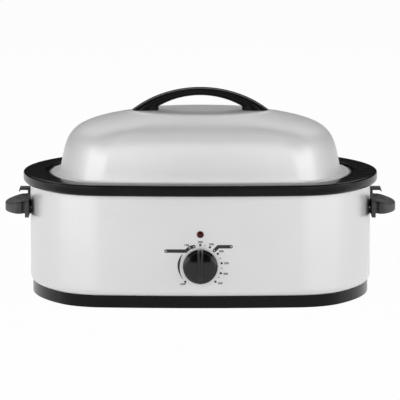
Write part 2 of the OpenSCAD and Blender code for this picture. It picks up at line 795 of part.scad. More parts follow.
side_face_x = end_x(body_inset) + seat;
side_plate_x = side_face_x + side_plate_t;
side_plate_y = side_plate_len / 2;
side_plate_top = side_z + side_plate_h;
side_screw_y = 34;
side_screw_z = side_z + side_plate_h / 2;
side_boss_r = 5;
side_tip_x = half_len - body_inset + side_reach;
side_grip_r = 89;
side_grip_z = side_z + 3.7;
side_grip_slope = 0.17;
side_ear_y = 54;
side_web_t = 3.5;
side_wall_t = 3.2;

module side_handle(side) color(black_plastic) {
    boss_x = end_x(body_inset, side_screw_y - side_boss_r) + 0.1;
    mirror([side > 0 ? 0 : 1, 0, 0]) difference() {
        union() {
            translate([side_face_x, -side_plate_y, side_z])
                cube([side_plate_t, 2 * side_plate_y, side_plate_h]);
            for (sy = [-1, 1]) {
                side_hook(sy);
                translate([boss_x, sy * side_screw_y, side_screw_z]) rotate([0, 90, 0])
                    cylinder(r = side_boss_r, h = side_plate_x - boss_x - 1);
            }
            side_grip();
        }
        for (sy = [-1, 1]) translate([boss_x - 1, sy * side_screw_y, side_screw_z])
            rotate([0, 90, 0]) cylinder(d = 3, h = side_plate_x - boss_x - 0.5);
    }
}

// Hook in which the lid's rim rests when the lid stands on edge
module side_hook(sy) {
    top = side_plate_top + hook_rise;
    under = top - 3.4;
    tip = 2.4;
    r = 3;
    out = side_plate_x + hook_arm;
    translate([0, sy > 0 ? side_plate_y - 3 : -side_plate_y + 3 + hook_w, 0])
        rotate([90, 0, 0]) linear_extrude(hook_w) {
            bend([side_face_x + r, top - r], 0, r, 1);
            polygon([
                [side_face_x, side_plate_top - 1], [side_plate_x, side_plate_top - 1], [side_plate_x, under],
                [out - 2.6, under], [out - 1.2, under - tip], [out, under - tip + 0.6], [out - 1.6, top],
                [side_face_x + r, top], [side_face_x + r, top - r], [side_face_x, top - r]]);
        }
}

// Plan of the grip: a disc cut off straight at both ears
module side_grip_plan(inset) {
    ear = side_ear_y - inset;
    intersection() {
        translate([side_tip_x - side_grip_r, 0]) circle(side_grip_r - inset, $fn = 128);
        translate([side_plate_x - 0.5, -ear]) square([side_grip_r, 2 * ear]);
    }
}

// The grip's plan, raised between a level and a top face that rises towards the plate
module side_grip_block(inset, low, lift) {
    start = side_plate_x - 1;
    high = side_grip_z + side_grip_t - lift;
    tall = side_grip_t + side_reach;
    intersection() {
        translate([0, 0, low]) linear_extrude(tall) side_grip_plan(inset);
        rotate([90, 0, 0]) linear_extrude(2 * side_ear_y + 2, center = true) polygon([
            [start, low - 1], [side_tip_x + 1, low - 1], [side_tip_x + 1, high],
            [start, high + side_grip_slope * (side_tip_x - start)]]);
    }
}

module side_grip() difference() {
    side_grip_block(0, side_grip_z, 0);
    side_grip_block(side_wall_t, side_grip_z - 1, side_web_t);
}

module side_handle_left() { side_handle(-1); }
module side_handle_right() { side_handle(1); }

backing_t = 2;
backing_in = body_inset + body_wall + 0.1;
backing_r = end_r - backing_in;

module backing_plate(side) color(steel) {
    turn = asin(54 / backing_r);
    mirror([side > 0 ? 0 : 1, 0, 0]) difference() {
        sweep_arc(end_arc, -turn, turn) box2([backing_in, side_z + 2], [backing_in + backing_t, side_z + side_plate_h - 2]);
        for (sy = [-1, 1]) translate([end_x(body_inset) - 14, sy * side_screw_y, side_screw_z])
            rotate([0, 90, 0]) cylinder(d = 4.4, h = 20);
    }
}

module backing_plate_left() { backing_plate(-1); }
module backing_plate_right() { backing_plate(1); }

module side_handle_screws(side) color(steel) {
    x = end_x(backing_in + backing_t, side_screw_y) - 0.8;
    for (sy = [-1, 1]) mirror([side > 0 ? 0 : 1, 0, 0]) translate([x, sy * side_screw_y, side_screw_z])
        rotate([0, 90, 0]) screw(3, 9.5, 7, 2.2);
}

module side_handle_screws_left() { side_handle_screws(-1); }
module side_handle_screws_right() { side_handle_screws(1); }

// ---- Control -------------------------------------------------------------

bushing_r = 5;
bushing_out = 1;
bracket_t = 1.5;
bracket_screw_x = 17;
bracket_size = [52, 26];
bracket_y = front_y(body_inset + body_wall, bracket_size[0] / 2);
case_y = bracket_y + bracket_t + 6;
case_size = [44, 20, 36];

// Draws children with +Z pointing out of the front, at the knob's axis
module at_knob(y) {
    translate([0, y, knob_z]) rotate([90, 0, 0]) children();
}

module thermostat_case() color("#3b3128") {
    translate([-case_size[0] / 2, case_y, knob_z - case_size[2] / 2]) cube(case_size);
}

module thermostat_bushing() color(steel) {
    at_knob(case_y) difference() {
        union() {
            cylinder(r = bushing_r, h = case_y - body_front_y + bushing_out);
            cylinder(r = bushing_r + 2, h = case_y - bracket_y - bracket_t);
        }
        translate([0, 0, -1]) cylinder(r = shaft_r + shaft_fit, h = 30);
    }
}

module thermostat_bracket() color(steel) {
    at_knob(bracket_y) difference() {
        translate([-bracket_size[0] / 2, -bracket_size[1] / 2, -bracket_t])
            cube([bracket_size[0], bracket_size[1], bracket_t]);
        translate([0, 0, -5]) cylinder(r = bushing_r + 0.1, h = 10);
        for (s = [-1, 1]) translate([s * bracket_screw_x, 0, -5]) cylinder(d = 3, h = 10);
    }
}

module thermostat_screws() color(steel) {
    at_knob(body_front_y) for (s = [-1, 1]) translate([s * bracket_screw_x, 0, 0]) mirror([0, 0, 1])
        screw(3, 5, 5.6, 1.0);
}

module thermostat_terminals() color("#c9a35c") {
    for (s = [0, 1]) mirror([s, 0, 0])
        translate([case_size[0] / 2, case_y + case_size[1] - 9, knob_z - 4]) cube([9, 6, 0.8]);
}

shaft_end = knob_gap + knob_t - 3;

module thermostat_shaft() color(steel) {
    at_knob(case_y) translate([0, 0, seat]) difference() {
        cylinder(r = shaft_r, h = case_y - body_front_y + shaft_end - seat);
        translate([shaft_r - 1, -5, case_y - body_front_y + knob_gap + 2]) cube([5, 10, 20]);
    }
}

sensor_in = liner_inset;

module sensor_pad() color(steel) {
    y = case_y + case_size[1];
    reach = front_y(heater_in - strap_t) - y - 0.3;
    translate([0, y, knob_z + 10]) rotate([-90, 0, 0]) cylinder(d = 6, h = max(2, reach));
}

module knob_profile() {
    r = knob_d / 2;
    step_r = r - 3.6;
    polygon([[0, 0], [r - 0.6, 0], [r, 0.8], [r - 0.5, knob_t * 0.42], [r - 1.6, knob_t * 0.55],
        [step_r + 0.6, knob_t * 0.6], [step_r, knob_t * 0.65], [step_r - 0.5, knob_t * 0.92],
        [step_r - 1.6, knob_t], [0, knob_t]]);
}

module control_knob() color(black_plastic) {
    ridge_low = -knob_d / 2 + 8;
    ridge_high = knob_d / 2 + 0.8;
    at_knob(body_front_y - knob_gap) difference() {
        union() {
            rotate_extrude($fn = 96) knob_profile();
            // grip ridge with a pointer nose past the skirt
            translate([0, 0, 1.5]) linear_extrude(knob_t + knob_ridge_t - 1.5) union() {
                translate([-knob_ridge_w / 2, ridge_low + knob_ridge_w / 2])
                    square([knob_ridge_w, ridge_high - ridge_low - knob_ridge_w]);
                for (y = [ridge_low + knob_ridge_w / 2, ridge_high - knob_ridge_w / 2])
                    translate([0, y]) circle(d = knob_ridge_w);
            }
        }
        // socket for the shaft and its clip
        translate([0, 0, -1]) cylinder(r = shaft_r + 0.9, h = knob_t - 2 + 1);
        // hollow under the skirt
        translate([0, 0, -1]) rotate_extrude($fn = 64) translate([shaft_r + 4, 0])
            square([knob_d / 2 - 3 - shaft_r - 4, knob_t * 0.4]);
    }
}

module knob_clip() color(steel) {
    at_knob(body_front_y - knob_gap) translate([0, 0, 2]) difference() {
        cylinder(r = shaft_r + 0.85, h = knob_t - 6);
        translate([0, 0, -1]) cylinder(r = shaft_r + 0.05, h = knob_t);
        translate([-10, -1, -1]) cube([10, 2, knob_t]);
    }
}

// ---- Pilot light ---------------------------------------------------------

pilot_stem_d = pilot_d - 2;

module at_pilot(y) {
    translate([0, y, pilot_z]) rotate([90, 0, 0]) children();
}

module pilot_lens() color(red) {
    at_pilot(body_front_y) difference() {
        union() {
            rotate_extrude($fn = 64) polygon([[0, 0], [pilot_d / 2, 0], [pilot_d / 2, 1],
                [pilot_d / 2 - 0.8, 2], [pilot_d / 2 - 2.2, 2.8], [0, 3.2]]);
            translate([0, 0, -12]) cylinder(d = pilot_stem_d, h = 12.5);
        }
        translate([0, 0, -13]) cylinder(d = pilot_stem_d - 2, h = 13.5);
    }
}

module pilot_clip() color(steel) {
    clip_r = pilot_stem_d / 2 + 3.5;
    at_pilot(front_y(body_inset + body_wall, clip_r) + 0.05) mirror([0, 0, 1]) difference() {
        cylinder(r = clip_r, h = 1);
        translate([0, 0, -1]) cylinder(d = pilot_stem_d, h = 4);
    }
}

module pilot_lamp() color("#e9d9c8") {
    at_pilot(body_front_y + 2) mirror([0, 0, 1]) {
        cylinder(d = pilot_stem_d - 2.4, h = 14);
        translate([0, 0, 14]) cylinder(d = pilot_stem_d - 0.4, h = 3);
    }
}

// ---- Cord entry ----------------------------------------------------------

gland_neck_r = 7;
gland_flange_r = 10;

gland_step = 2;
gland_out = knob_gap + knob_t + knob_ridge_t;
gland_ribs = 4;

module at_gland() {
    translate([0, -body_front_y, gland_z]) rotate([-90, 0, 0]) children();
}

// Cord guard: a ribbed sleeve that stands out as far as the knob does in front
module cord_gland() color(black_plastic) {
    at_gland() difference() {
        union() {
            cylinder(r = gland_flange_r, h = 3);
            translate([0, 0, -10]) cylinder(r = gland_neck_r, h = 11);
            translate([0, 0, 3]) cylinder(r1 = gland_neck_r, r2 = gland_neck_r - 1.6, h = gland_out - 3);
            for (k = [1:gland_ribs]) translate([0, 0, 3 + k * (gland_out - 4) / (gland_ribs + 0.5)])
                cylinder(r = gland_neck_r + 0.4, h = 1.6);
        }
        translate([0, 0, -11]) cylinder(r = gland_r + 0.6, h = 11 + gland_step);
        cylinder(r = gland_r, h = gland_out + 1);
    }
}

module gland_nut() color(black_plastic) {
    nut_r = gland_flange_r + 1;
    seat_z = body_front_y - front_y(body_inset + body_wall, nut_r);
    at_gland() translate([0, 0, seat_z - 4]) difference() {
        cylinder(r = nut_r, h = 4, $fn = 6);
        translate([0, 0, -1]) cylinder(r = gland_neck_r, h = 6);
    }
}

block_z = base_floor_z + base_wall;
block_size = [36, 16, 12];
block_y = 90;

module terminal_block() color("#e8e6df") {
    translate([-block_size[0] / 2, block_y, block_z]) difference() {
        cube(block_size);
        for (k = [0:2]) translate([6 + k * 12, block_size[1] / 2, 5]) cylinder(d = 4, h = 10);
    }
}

module terminal_screws() color("#c9a35c") {
    for (k = [-1:1]) translate([k * 12, block_y + block_size[1] / 2, block_z + 5]) {
        cylinder(d = 3.6, h = 5);
    }
}

// ---- Choice of node ------------------------------------------------------

base_tray();
foot_front_left();
foot_front_right();
foot_rear_left();
foot_rear_right();
base_screws();
speed_nuts();
heat_shield();
shield_posts();
outer_body();
rim_collar();
collar_screws();
inner_liner();
insulation_blanket();
heater_band();
heater_straps();
heater_terminals();
roasting_pan();
rack_grid();
rack_loop_left();
rack_loop_right();
lid_dome();
lid_handle();
lid_handle_gaskets();
lid_handle_washers();
lid_handle_screws();
side_handle_left();
side_handle_right();
backing_plate_left();
backing_plate_right();
side_handle_screws_left();
side_handle_screws_right();
thermostat_case();
thermostat_bushing();
thermostat_bracket();
thermostat_screws();
thermostat_terminals();
thermostat_shaft();
sensor_pad();
control_knob();
knob_clip();
pilot_lens();
pilot_clip();
pilot_lamp();
cord_gland();
gland_nut();
terminal_block();
terminal_screws();
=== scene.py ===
"""Electric roaster oven: finishes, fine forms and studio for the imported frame.

Sizes are in millimetres in the frame's own axes: +Z up, the control knob towards -Y.
Meshes are turned into metres when they are made. The studio's sizes are in metres.
"""

from __future__ import annotations

import logging
import sys
from collections.abc import Callable, Iterable, Sequence
from dataclasses import dataclass, field
from enum import Enum
from math import asin, atan2, copysign, cos, hypot, pi, radians, sin, sqrt, tan

import bmesh
import bpy
from bpy.types import Material, Node, NodeTree, Object
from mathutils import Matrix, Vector

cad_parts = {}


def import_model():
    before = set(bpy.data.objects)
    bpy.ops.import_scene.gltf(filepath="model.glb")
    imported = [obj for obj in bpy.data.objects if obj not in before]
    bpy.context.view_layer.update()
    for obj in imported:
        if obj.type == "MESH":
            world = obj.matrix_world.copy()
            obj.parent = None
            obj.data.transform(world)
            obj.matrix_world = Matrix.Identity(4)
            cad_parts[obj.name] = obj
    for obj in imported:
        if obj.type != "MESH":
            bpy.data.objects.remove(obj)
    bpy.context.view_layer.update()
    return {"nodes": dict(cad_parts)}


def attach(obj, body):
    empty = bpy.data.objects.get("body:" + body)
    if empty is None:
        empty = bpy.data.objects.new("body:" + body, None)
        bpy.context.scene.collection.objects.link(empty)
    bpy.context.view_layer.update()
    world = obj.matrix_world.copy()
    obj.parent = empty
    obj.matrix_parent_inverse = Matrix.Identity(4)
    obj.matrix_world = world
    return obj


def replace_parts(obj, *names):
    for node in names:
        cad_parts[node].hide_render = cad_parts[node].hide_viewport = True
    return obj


Point2 = tuple[float, float]
Point3 = tuple[float, float, float]
Colour = Point3
Station = tuple[float, float, float, float]
LOG = logging.getLogger("roaster")

MM = 0.001  # metres in a millimetre
WELD = 1e-7  # metres below which two points are joined
STRAIGHT = 1e-4  # radians off straight below which a corner stays
BEVEL_STEPS = 3
BEVEL_ANGLE = 40  # degrees above which an edge is bevelled
GRAIN_DETAIL = 3.0
CLOUD_DETAIL = 4.0
CLOUD_BAND = (0.35, 0.65)  # noise values between which the colour changes
BUMP_STRENGTH = 0.6


# ---- Finishes ----


class Bodies(Enum):
    """Rigid bodies of the frame that pieces ride on."""

    OVEN = "oven"
    PAN = "pan"
    LID = "lid"
    KNOB = "knob"


def add_node(tree: NodeTree, kind: str, values: dict[str | int, float | Point3] | None = None) -> Node:
    """Adds a shader node to a tree.

    Args:
        tree: The node tree.
        kind: The node's type, without the words that all of them start with.
        values: Values of its unlinked inputs.

    Returns:
        The node.
    """
    node = tree.nodes.new(f"ShaderNode{kind}")
    for socket, value in (values or {}).items():
        node.inputs[socket].default_value = value
    return node


def join(source: Node, output: str | int, target: Node, socket: str | int) -> None:
    """Links one node's output to another node's input."""
    source.id_data.links.new(source.outputs[output], target.inputs[socket])


@dataclass(frozen=True)
class Finish:
    """One surface finish, from colour to the fine grain in its bump."""

    name: str
    colour: Colour
    roughness: float
    metallic: float = 0.0
    mottle: float = 0.04
    mottle_scale: float = 12.0
    grain_scale: float = 900.0
    grain_depth: float = 2e-5
    streak: Point3 = (1.0, 1.0, 1.0)
    rough_spread: float = 0.05
    coat: float = 0.0
    coat_roughness: float = 0.1
    transmission: float = 0.0
    ior: float = 1.5
    specular: float = 0.5

    def make(self) -> Material:
        """Builds the node material.

        Returns:
            The material, with colour, roughness and bump worked out in nodes.
        """
        material = bpy.data.materials.new(self.name)
        material.use_nodes = True
        tree = material.node_tree
        shader = tree.nodes["Principled BSDF"]
        values = {"Metallic": self.metallic, "IOR": self.ior, "Specular IOR Level": self.specular,
                  "Coat Weight": self.coat, "Coat Roughness": self.coat_roughness,
                  "Transmission Weight": self.transmission}
        for socket, value in values.items():
            shader.inputs[socket].default_value = value
        place = add_node(tree, "TexCoord")
        stretch = add_node(tree, "Mapping", {"Scale": self.streak})
        join(place, "Object", stretch, "Vector")
        self._colour(tree, shader, place)
        grain = add_node(tree, "TexNoise", {"Scale": self.grain_scale, "Detail": GRAIN_DETAIL})
        join(stretch, "Vector", grain, "Vector")
        rough = add_node(tree, "MapRange", {"To Min": self.roughness - self.rough_spread,
                                            "To Max": self.roughness + self.rough_spread})
        join(grain, "Fac", rough, "Value")
        join(rough, "Result", shader, "Roughness")
        bump = add_node(tree, "Bump", {"Strength": BUMP_STRENGTH, "Distance": self.grain_depth})
        join(grain, "Fac", bump, "Height")
        join(bump, "Normal", shader, "Normal")
        return material

    def _colour(self, tree: NodeTree, shader: Node, place: Node) -> None:
        """Links a slightly uneven base colour.

        Args:
            tree: The material's node tree.
            shader: Its Principled node.
            place: Its texture coordinate node.
        """
        cloud = add_node(tree, "TexNoise", {"Scale": self.mottle_scale, "Detail": CLOUD_DETAIL})
        join(place, "Object", cloud, "Vector")
        ramp = add_node(tree, "ValToRGB")
        low, high = ramp.color_ramp.elements
        low.position, high.position = CLOUD_BAND
        low.color = (*[c * (1 - self.mottle) for c in self.colour], 1)
        high.color = (*[c * (1 + self.mottle) for c in self.colour], 1)
        join(cloud, "Fac", ramp, "Fac")
        join(ramp, "Color", shader, "Base Color")


class Palette:
    """Every finish of the oven, made once and looked up by name."""

    FINISHES: tuple[Finish, ...] = (
        Finish("silver_paint", (0.72, 0.72, 0.725), 0.34, metallic=0.4, mottle=0.012, grain_depth=1.2e-5,
               coat=0.3, coat_roughness=0.28),
        Finish("lid_paint", (0.78, 0.78, 0.785), 0.42, metallic=0.22, mottle=0.015, grain_depth=1.2e-5,
               coat=0.1, coat_roughness=0.4),
        Finish("black_moulding", (0.005, 0.005, 0.0055), 0.22, mottle=0.2, grain_scale=1600.0,
               grain_depth=1e-5, specular=0.13),
        Finish("gloss_moulding", (0.003, 0.003, 0.0032), 0.12, mottle=0.2, grain_scale=1600.0,
               grain_depth=4e-6, specular=0.42, rough_spread=0.02),
        Finish("dull_moulding", (0.045, 0.045, 0.047), 0.5, mottle=0.15, grain_scale=1400.0,
               grain_depth=4e-5, specular=0.35),
        Finish("zinc_steel", (0.6, 0.61, 0.63), 0.34, metallic=1.0, mottle=0.08, mottle_scale=60.0),
        Finish("bright_sheet", (0.66, 0.67, 0.68), 0.28, metallic=1.0, mottle=0.06, streak=(0.08, 1.0, 1.0)),
        Finish("pan_steel", (0.7, 0.7, 0.71), 0.26, metallic=1.0, mottle=0.015, grain_depth=3e-6,
               streak=(0.05, 1.0, 1.0), rough_spread=0.02),
        Finish("chrome_wire", (0.8, 0.81, 0.82), 0.1, metallic=1.0, mottle=0.02, rough_spread=0.03),
        Finish("rubber_foot", (0.018, 0.018, 0.018), 0.75, mottle=0.2, grain_depth=6e-5),
        Finish("glass_wool", (0.74, 0.68, 0.5), 0.95, mottle=0.2, mottle_scale=80.0, grain_scale=400.0,
               grain_depth=0.001),
        Finish("mica_band", (0.42, 0.38, 0.33), 0.6, mottle=0.25, mottle_scale=90.0, streak=(0.1, 0.1, 1.0)),
        Finish("phenolic", (0.075, 0.045, 0.03), 0.42, mottle=0.25, mottle_scale=70.0),
        Finish("brass_tab", (0.72, 0.5, 0.24), 0.3, metallic=1.0, mottle=0.08),
        Finish("red_lens", (0.045, 0.001, 0.002), 0.12, mottle=0.1, specular=0.3),
        Finish("lamp_glass", (0.9, 0.86, 0.8), 0.08, transmission=0.85, mottle=0.02),
        Finish("dial_ink", (0.01, 0.01, 0.012), 0.4, mottle=0.1, grain_depth=1e-5),
    )

    def __init__(self) -> None:
        """Makes every finish's material."""
        self._made = {finish.name: finish.make() for finish in self.FINISHES}

    def __getitem__(self, name: str) -> Material:
        """Returns the material of that name."""
        return self._made[name]


# ---- Mesh making ----


@dataclass
class Solid:
    """A mesh in the making, in millimetres."""

    verts: list[Point3] = field(default_factory=list)
    faces: list[tuple[int, ...]] = field(default_factory=list)

    def grid(self, loops: Sequence[Sequence[Point3]], ring: bool = False) -> Solid:
        """Skins a row of closed loops and fills the first and the last.

        Args:
            loops: Closed loops with equally many points.
            ring: Whether the last loop joins the first again, so that neither is filled.

        Returns:
            This solid.
        """
        base, n, m = len(self.verts), len(loops[0]), len(loops)
        for loop in loops:
            self.verts.extend(loop)
        for k in range(m if ring else m - 1):
            u = (k + 1) % m
            for i in range(n):
                j = (i + 1) % n
                self.faces.append((base + k * n + i, base + k * n + j, base + u * n + j, base + u * n + i))
        if not ring:
            self.faces.append(tuple(base + i for i in range(n))[::-1])
            self.faces.append(tuple(base + (m - 1) * n + i for i in range(n)))
        return self

    def strip(self, pairs: Iterable[Sequence[Point3]]) -> None:
        """Adds a band between two rows of points.

        Args:
            pairs: The points of both rows, two by two.
        """
        base = len(self.verts)
        for pair in pairs:
            self.verts.extend(pair)
        for k in range(base, len(self.verts) - 2, 2):
            self.faces.append((k, k + 1, k + 3, k + 2))

    def extrude(self, outline: Sequence[Point2], place: Callable[[float, float, float], Point3],
                low: float, high: float) -> None:
        """Extrudes a flat outline.

        Args:
            outline: The outline's points.
            place: Gives a point in the frame from an outline point and a height.
            low: The first height.
            high: The last height.
        """
        self.grid([[place(u, v, h) for u, v in outline] for h in (low, high)])

    def make(self, name: str, body: Bodies, material: Material, bevel: float = 0.0,
             sharp: float = 32.0) -> Object:
        """Turns the mesh into an object that rides on a body.

        Args:
            name: The piece's name.
            body: The body that it rides on.
            material: Its finish.
            bevel: Width of the bevel on its sharp edges, or 0 for none.
            sharp: Angle above which an edge stays sharp, in degrees.

        Returns:
            The new object.
        """
        mesh = bpy.data.meshes.new(name)
        mesh.from_pydata([Vector(v) * MM for v in self.verts], [], self.faces)
        edit = bmesh.new()
        edit.from_mesh(mesh)
        bmesh.ops.remove_doubles(edit, verts=edit.verts, dist=WELD)
        bmesh.ops.recalc_face_normals(edit, faces=edit.faces)
        edit.to_mesh(mesh)
        edit.free()
        mesh.shade_smooth()
        mesh.set_sharp_from_angle(angle=radians(sharp))
        mesh.materials.append(material)
        piece = bpy.data.objects.new(name, mesh)
        show(piece)
        if bevel > 0:
            edge = piece.modifiers.new("edges", "BEVEL")
            edge.width = bevel * MM
            edge.segments = BEVEL_STEPS
            edge.limit_method = "ANGLE"
            edge.angle_limit = radians(BEVEL_ANGLE)
            edge.harden_normals = True
        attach(piece, body.value)
        LOG.info("%s: %d faces", name, len(mesh.polygons))
        return piece


def spread(first: float, last: float, steps: int) -> list[float]:
    """Returns evenly spaced values from first to last."""
    return [first + (last - first) * i / steps for i in range(steps + 1)]


def circle(steps: int) -> list[float]:
    """Returns evenly spaced angles round a circle, in radians."""
    return spread(0.0, 2 * pi, steps)[:-1]


def show(thing: Object) -> None:
    """Puts an object into the scene."""
    bpy.context.scene.collection.objects.link(thing)


def rounded(corners: Iterable[Point3], steps: int = 6) -> list[Point2]:
    """Rounds the corners of a closed outline.

    Args:
        corners: Each corner's place and radius.
        steps: Number of pieces in each rounded corner.

    Returns:
        The outline's points.
    """
    ring = list(corners)
    points: list[Point2] = []
    for k, (x, y, radius) in enumerate(ring):
        here = Vector((x, y))
        before = (Vector(ring[k - 1][:2]) - here).normalized()
        after = (Vector(ring[(k + 1) % len(ring)][:2]) - here).normalized()
        turn = before.angle(after)
        if radius <= 0 or abs(turn - pi) < STRAIGHT:
            points.append((x, y))
            continue
        reach = radius / tan(turn / 2)
        middle = here + (before + after).normalized() * (radius / sin(turn / 2))
        first = here + before * reach - middle
        last = here + after * reach - middle
        a0 = atan2(first.y, first.x)
        swing = atan2(last.y, last.x) - a0
        swing = (swing + pi) % (2 * pi) - pi
        for a in spread(a0, a0 + swing, steps):
            points.append((middle.x + radius * cos(a), middle.y + radius * sin(a)))
    return points


@dataclass
class Plan:
    """The oven's rounded plan: three tangent arcs in each quarter, at any inset."""

    length: float = 538.0
    depth: float = 410.0
    corner_r: float = 99.0
    end_turn: float = 35.0
    front_turn: float = 84.5
    steps: tuple[int, int, int] = (16, 24, 12)

    def __post_init__(self) -> None:
        """Works out the three arcs from the driving sizes."""
        e, f = radians(self.end_turn), radians(self.front_turn)
        a, b = self.length / 2 - self.corner_r, self.depth / 2 - self.corner_r
        det = (1 - cos(e)) * (1 - sin(f)) - cos(f) * sin(e)
        end_extra = (a * (1 - sin(f)) - b * cos(f)) / det
        front_extra = (b * (1 - cos(e)) - a * sin(e)) / det
        self.end_r = self.corner_r + end_extra
        self.front_r = self.corner_r + front_extra
        self.end_cx = self.length / 2 - self.end_r
        self.front_cy = self.depth / 2 - self.front_r
        self.corner_c = (self.end_cx + end_extra * cos(e), end_extra * sin(e))

    def stations(self) -> list[Station]:
        """Gives the places round the plan at which it is drawn.

        Returns:
            Each station's arc centre, radius at no inset, and angle of the outward normal.
        """
        end, corner, front = self.steps
        arcs = (((self.end_cx, 0.0), self.end_r, 0.0, self.end_turn, end),
                (self.corner_c, self.corner_r, self.end_turn, self.front_turn, corner),
                ((0.0, self.front_cy), self.front_r, self.front_turn, 90.0, front))
        quarter = [(*c, r, radians(a)) for c, r, lo, hi, n in arcs for a in spread(lo, hi, n)[:-1]]
        quarter.append((0.0, self.front_cy, self.front_r, pi / 2))
        half = quarter + [(-x, y, r, pi - a) for x, y, r, a in quarter[-2::-1]]
        return half + [(x, -y, r, -a) for x, y, r, a in half[-2:0:-1]]

    @staticmethod
    def at(station: Station, inset: float) -> Point2:
        """Returns the point at that station and inset."""
        x, y, r, a = station
        return x + (r - inset) * cos(a), y + (r - inset) * sin(a)

    def end_x(self, inset: float, y: float = 0.0) -> float:
        """Returns X of the right end at an inset, off the middle by y."""
        return self.end_cx + sqrt((self.end_r - inset) ** 2 - y * y)

    def front_y(self, inset: float, x: float = 0.0) -> float:
        """Returns Y of the front at an inset, off the middle by x."""
        return -(self.front_cy + sqrt((self.front_r - inset) ** 2 - x * x))

    def ring(self, profile: Sequence[Point2]) -> Solid:
        """Sweeps a closed profile of insets and heights round the plan.

        Args:
            profile: The profile's points.

        Returns:
            The swept ring.
        """
        loops = [[(*self.at(s, inset), z) for inset, z in profile] for s in self.stations()]
        return Solid().grid(loops, ring=True)

    def shell(self, path: Sequence[Point2]) -> Solid:
        """Sweeps an open path of insets and heights, and fills its first and last loops.

        Args:
            path: The path, from the underside's middle out and back to the top side's middle.

        Returns:
            The closed shell.
        """
        stops = self.stations()
        return Solid().grid([[(*self.at(s, inset), z) for s in stops] for inset, z in path])


# ---- Levels ----


@dataclass
class Levels:
    """Heights and insets that set the assemblies against each other."""

    base_top: float = 20.5
    body_top: float = 174.2
    collar_low: float = 169.7
    collar_top: float = 186.2
    ledge: float = 181.2
    pan_flange: float = 181.9
    lid: float = 183.15
    dome_h: float = 93.3
    pad_step: float = 0.8
    body_in: float = 10.5
    collar_w: float = 33.5
    pan_bead_in: float = 40.48
    pan_in: float = 57.18

    @property
    def pad(self) -> float:
        """Height of the raised pad's top face."""
        return self.lid + self.dome_h + self.pad_step


# ---- Assemblies ----


@dataclass
class Assembly:
    """What every assembly is given: the plan, the shared levels and the finishes."""

    plan: Plan
    levels: Levels
    palette: Palette


@dataclass
class Shell(Assembly):
    """Painted body and rim collar."""

    sheet: float = 0.8
    foot_r: float = 14.0
    foot_rise: float = 10.0
    foot_steps: int = 10
    foot_lead: float = 0.4
    foot_lip: float = 12.0
    fold_r: float = 0.6
    fold_in: float = 30.0
    collar_wall: float = 2.6
    collar_seam: float = 0.3
    skirt_r: float = 6.0
    top_r: float = 3.0
    step_r: float = 1.4
    ledge_w: float = 10.0

    def build(self) -> None:
        """Makes the body and the collar."""
        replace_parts(self._body(), "outer_body")
        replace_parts(self._collar(), "rim_collar")

    def _body(self) -> Object:
        """Makes the painted body: a straight wall whose foot turns in on a radius.

        Returns:
            The body.
        """
        lv, t, r = self.levels, self.sheet, self.foot_r
        low, high, turn = lv.base_top, lv.body_top, asin(self.foot_rise / r)

        def foot(radius: float) -> list[Point2]:
            """Returns the foot's bend on one side of the sheet, from the wall down."""
            return [(lv.body_in + r - radius * cos(a), low + self.foot_rise - radius * sin(a))
                    for a in spread(0.0, turn, self.foot_steps)]

        bend = foot(r)
        lead, lip = bend[-1][0] + self.foot_lead, bend[-1][0] + self.foot_lip
        profile = [(lv.body_in, high - self.fold_r), *bend, (lead, low), (lip, low), (lip, low + t),
                   (lead + t, low + t), *foot(r - t)[:-1][::-1], (lv.body_in + t, high - t),
                   (self.fold_in, high - t), (self.fold_in, high), (lv.body_in + self.fold_r, high)]
        return self.plan.ring(profile).make("painted_body", Bodies.OVEN, self.palette["silver_paint"])

    def _collar(self) -> Object:
        """Makes the rim collar: rounded skirt, broad top face and the step that holds the pan.

        Returns:
            The collar.
        """
        lv, w = self.levels, self.collar_wall
        low, top, step, ledge = lv.collar_low, lv.collar_top, lv.collar_w, lv.ledge
        skirt, lip, seat = lv.body_in - self.collar_seam, step + self.ledge_w, lv.body_top + self.sheet
        profile = rounded([
            (skirt, low, 0.3), (0, low, self.skirt_r), (0, top, self.top_r), (step, top, self.step_r),
            (step, ledge, 0.8), (lip, ledge, 0.5), (lip, seat, 0), (lip - w, seat, 0),
            (lip - w, ledge - w, 0.3), (step - w, ledge - w, 0.3), (step - w, top - w, 0.3),
            (w, top - w, 0.6), (w, low + w, 3.0), (skirt, low + w, 0.3)])
        return self.plan.ring(profile).make("collar_moulding", Bodies.OVEN, self.palette["black_moulding"])


